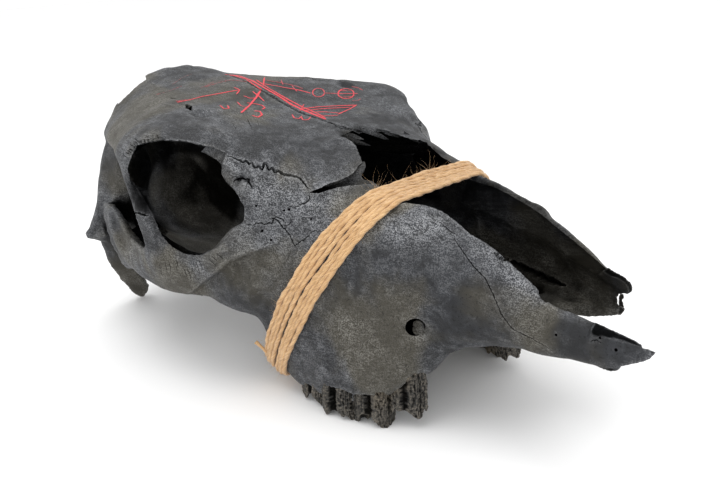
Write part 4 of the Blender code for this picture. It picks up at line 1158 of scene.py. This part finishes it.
steps = 400
route = []
for step in range(turns * steps + 1):
    turn = step / steps
    angle = 2 * math.pi * turn - math.pi / 2
    way_x, way_z = math.cos(angle), math.sin(angle)
    drift = noise.noise(Vector((way_x * 1.3, way_z * 1.3, turn * 0.45))) * 1.5
    drift += noise.noise(Vector((way_x * 4, way_z * 4, turn * 1.7 + 7))) * 0.7
    squeeze = 1.0 - 0.08 * max(0.0, way_z) ** 2
    offset = ((turn - turns / 2) * pitch * squeeze + drift) * slant
    lifted = max(0.0, noise.noise(Vector((way_x * 2, way_z * 2, turn * 3 + 3)))) * 1.3
    radius = band_radius(offset, angle) + strand_radius * 1.05 + lifted
    height = (band_centre + radius * way_z) / slant
    route.append((radius * way_x, band_middle + offset - lean * height, height))
route = np.array(route)
for _ in range(6):
    route[1:-1] += 0.5 * ((route[:-2] + route[2:]) / 2 - route[1:-1])


def strand(route, radius, rng, hub_drop=0.0, twist_length=15.0, sides=strand_sides):
    """The skin of a twisted strand: two plies that run into each other, with the lay of its fibres."""
    headings = np.gradient(route, axis=0)
    headings /= np.linalg.norm(headings, axis=1)[:, None]
    outward = route - (route.mean(axis=0) - (0, 0, hub_drop))
    outward -= (outward * headings).sum(axis=1)[:, None] * headings
    outward /= np.linalg.norm(outward, axis=1)[:, None]
    across = np.cross(headings, outward)
    run = np.concatenate([[0], np.cumsum(np.linalg.norm(np.diff(route, axis=0), axis=1))])
    vertices, lay = [], []
    for index, (place, length) in enumerate(zip(route, run)):
        swing = 2 * math.pi * length / twist_length
        swell = 1.0 + 0.25 * noise.noise(Vector((length * 0.09, 3.7, radius)))
        for side in range(sides):
            angle = 2 * math.pi * side / sides
            lobe = 0.15 * math.cos(2 * (angle - swing)) + 0.06 * math.cos(5 * (angle - swing * 1.4) + 1.0)
            reach = radius * swell * (1.0 + lobe + 0.08 * (rng.random() - 0.5))
            way = math.cos(angle) * outward[index] + math.sin(angle) * across[index]
            vertices.append(place + reach * way)
            lay.append((0.62 * math.cos(angle - swing), 0.62 * math.sin(angle - swing), length * 0.045))
    faces = ring_faces(len(route), sides)
    faces += [tuple(range(sides)), tuple((len(route) - 1) * sides + side for side in reversed(range(sides)))]
    return vertices, faces, lay, outward


def yarn_mesh(name, vertices, faces, lay, lifted):
    """A smooth mesh with the lay of the fibres on it, and its painted light, with painted shade in the gaps.
    """
    item = fresh_mesh(name, vertices, faces)
    attribute = item.data.attributes.new("lay", "FLOAT_VECTOR", "POINT")
    attribute.data.foreach_set("vector", np.array(lay, dtype=np.float32).ravel())
    on_whole_mesh(item, (bpy.ops.mesh.normals_make_consistent, {"inside": False}))
    bpy.ops.object.shade_smooth()
    keep_on_vertices(item, "lifted", lifted)
    return item


rng = np.random.default_rng(21)
vertices, faces, lay, outward = strand(route, strand_radius, rng)
# painted light on the side of the strand away from the bone, and painted shade on the side towards it
painted_light_outward = np.tile(np.cos(2 * math.pi * np.arange(strand_sides) / strand_sides), len(route))
twine = yarn_mesh("jute_twine", vertices, faces, lay, np.clip(0.5 + 0.6 * painted_light_outward, 0.0, 1.0))
# the cut end of the twine, which sticks out at the bottom of the band: the pixel where it leaves the
# band, and two pixels that give its way
tail_start, tail_from, tail_to = (269, 353), (268, 353), (258.5, 340)
shown = pixels_of(route)
facing_us = (outward @ np.array(back)) > 0
start = np.argmin(np.where(facing_us, ((shown - tail_start) ** 2).sum(axis=1), 1e9))
tail_aim = np.array(sight(*tail_to) - sight(*tail_from))
tail_aim = tail_aim / np.linalg.norm(tail_aim) + 0.25 * outward[start]
tail_route = np.array([route[start] + tail_aim * step * 0.5 + np.array(up) * (0.02 * step) ** 2
                       for step in range(18)])
vertices, faces, lay, _ = strand(tail_route, 1.0, rng, hub_drop=30.0)
# the cut end has nearly full painted light all round
twine = joined([twine, yarn_mesh("jute_tail", vertices, faces, lay, np.full(len(vertices), 0.9))])

jute, jute_shader, add = new_material("jute")
fibres = clouds(add, stored(add, "lay", "Vector"), 3.4, 4.0, 0.75)
blotch = clouds(add, add("ShaderNodeTexCoord").outputs["Object"], 160.0, 3.0)
# the tone follows the fibres and blotches, lighter with painted light and darker with painted shade
level = 0.0
for part, weight in ((fibres, 0.85), (blotch, 0.2), (stored(add, "lifted"), 0.16)):
    level = add("ShaderNodeMath", {0: part, 1: weight, 2: level}, operation="MULTIPLY_ADD").outputs[0]
jute_tones = add("ShaderNodeValToRGB", {"Fac": level})
dark_end, light_end = jute_tones.color_ramp.elements
dark_end.position, dark_end.color = 0.44, (0.22, 0.10, 0.035, 1)
light_end.position, light_end.color = 0.82, (0.74, 0.49, 0.25, 1)
jute_tones.color_ramp.elements.new(0.60).color = (0.50, 0.285, 0.12, 1)
bump = add("ShaderNodeBump", {"Height": fibres, "Strength": 1.0, "Distance": 0.0005})
plug(jute_shader, {"Base Color": jute_tones.outputs["Color"], "Normal": bump.outputs["Normal"],
                   "Roughness": 0.8, "Sheen Weight": 0.3})
twine.data.materials.append(jute)
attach(twine, "root")
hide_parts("twine")


# The fuzz on the twine: loose ends of jute fibres that have worked their way out of its plies. Most of
# them lie along the strand, and a few long ones have sprung up.
def hairs(roots, aims, lengths, thickness, rng, curl=0.7, parts=4):
    """Loose fibres: three-sided tapering threads from their roots, each with a curl of its own."""
    vertices, faces, lay = [], [], []
    for root, aim, length in zip(roots, aims, lengths):
        bend = rng.normal(size=3) * curl
        place, heading = np.array(root), aim / np.linalg.norm(aim)
        start = len(vertices)
        for part in range(parts + 1):
            side = np.cross(heading, (0.31, 0.52, 0.79))
            side /= np.linalg.norm(side)
            other = np.cross(heading, side)
            radius = thickness * (1.0 - 0.75 * part / parts)
            for corner in range(3):
                angle = 2 * math.pi * corner / 3
                vertices.append(place + radius * (math.cos(angle) * side + math.sin(angle) * other))
                lay.append((corner, part * length / parts, start * 0.01))
            place = place + heading * length / parts
            heading = heading + bend / parts + rng.normal(size=3) * curl * 0.35
            heading /= np.linalg.norm(heading)
        faces += ring_faces(parts + 1, 3, start)
        faces.append((start, start + 2, start + 1))
        faces.append(tuple(start + parts * 3 + corner for corner in range(3)))
    return vertices, faces, lay


count = 6000
picks = rng.integers(0, len(route), count)
headings = np.gradient(route, axis=0)[picks]
headings /= np.linalg.norm(headings, axis=1)[:, None]
roots = route[picks] + outward[picks] * strand_radius * 0.7
aims = headings * rng.choice([-1, 1], count)[:, None] * rng.uniform(0.3, 1.3, count)[:, None]
aims += outward[picks] * rng.uniform(0.05, 0.55, count)[:, None] + rng.normal(size=(count, 3)) * 0.35
lengths = rng.gamma(2.2, 0.9, count) + 0.6
# some long fibres have sprung up: the pixel that each tuft is near, and its number of fibres
tufts = [
    (366, 185, 8), (373, 180, 7), (395, 174, 6), (413, 170, 5), (430, 165, 9), (300, 322, 6), (267, 345, 10),
]
for px, py, number in tufts:
    near = np.argmin(np.where(facing_us, ((shown - (px, py)) ** 2).sum(axis=1), 1e9))
    for _ in range(number):
        sprung = np.array(up) * rng.uniform(0.1, 0.9) + np.array(right) * rng.normal() * 1.3
        sprung += outward[near] * 0.5
        roots = np.vstack([roots, route[near] + rng.normal(size=3) * 0.7])
        aims = np.vstack([aims, sprung])
        lengths = np.append(lengths, rng.uniform(5.0, 13.0))
hair_radius = 0.036
vertices, faces, lay = hairs(roots, aims, lengths, hair_radius, rng)
# the loose fibres get more painted light than the strands
fuzz = yarn_mesh("jute_fibres", vertices, faces, lay, np.full(len(vertices), 1.6))
fuzz.data.materials.append(jute)
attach(fuzz, "root")

# The floor is a white sheet, and the light is a large soft box overhead with white walls around.
corners = [(-4000, -4000, 0), (4000, -4000, 0), (4000, 4000, 0), (-4000, 4000, 0)]
floor = fresh_mesh("floor", corners, [(0, 1, 2, 3)])
paper, paper_shader, _ = new_material("white_paper")
plug(paper_shader, {"Base Color": (0.9, 0.9, 0.9, 1.0), "Roughness": 0.9})
floor.data.materials.append(paper)


def soft_box(name, place, target, size, power):
    light = linked(name, bpy.data.lights.new(name, "AREA"))
    light.data.shape = "RECTANGLE"
    light.data.size, light.data.size_y = size
    light.data.energy = power
    light.location = place
    light.rotation_euler = (Vector(target) - Vector(place)).to_track_quat("-Z", "Y").to_euler()


soft_box("top_light", (-0.25, 0.1, 1.4), (0, 0, 0.05), (1.1, 1.1), 9.0)
soft_box("front_light", (-1.0, -1.1, 0.45), (0, 0, 0.0), (1.0, 0.6), 3.5)
world = bpy.data.worlds.new("white_room")
world.use_nodes = True
plug(world.node_tree.nodes["Background"], {"Color": (1.0, 1.0, 1.0, 1.0), "Strength": 1.1})
bpy.context.scene.world = world
bpy.context.scene.view_settings.view_transform = "Standard"
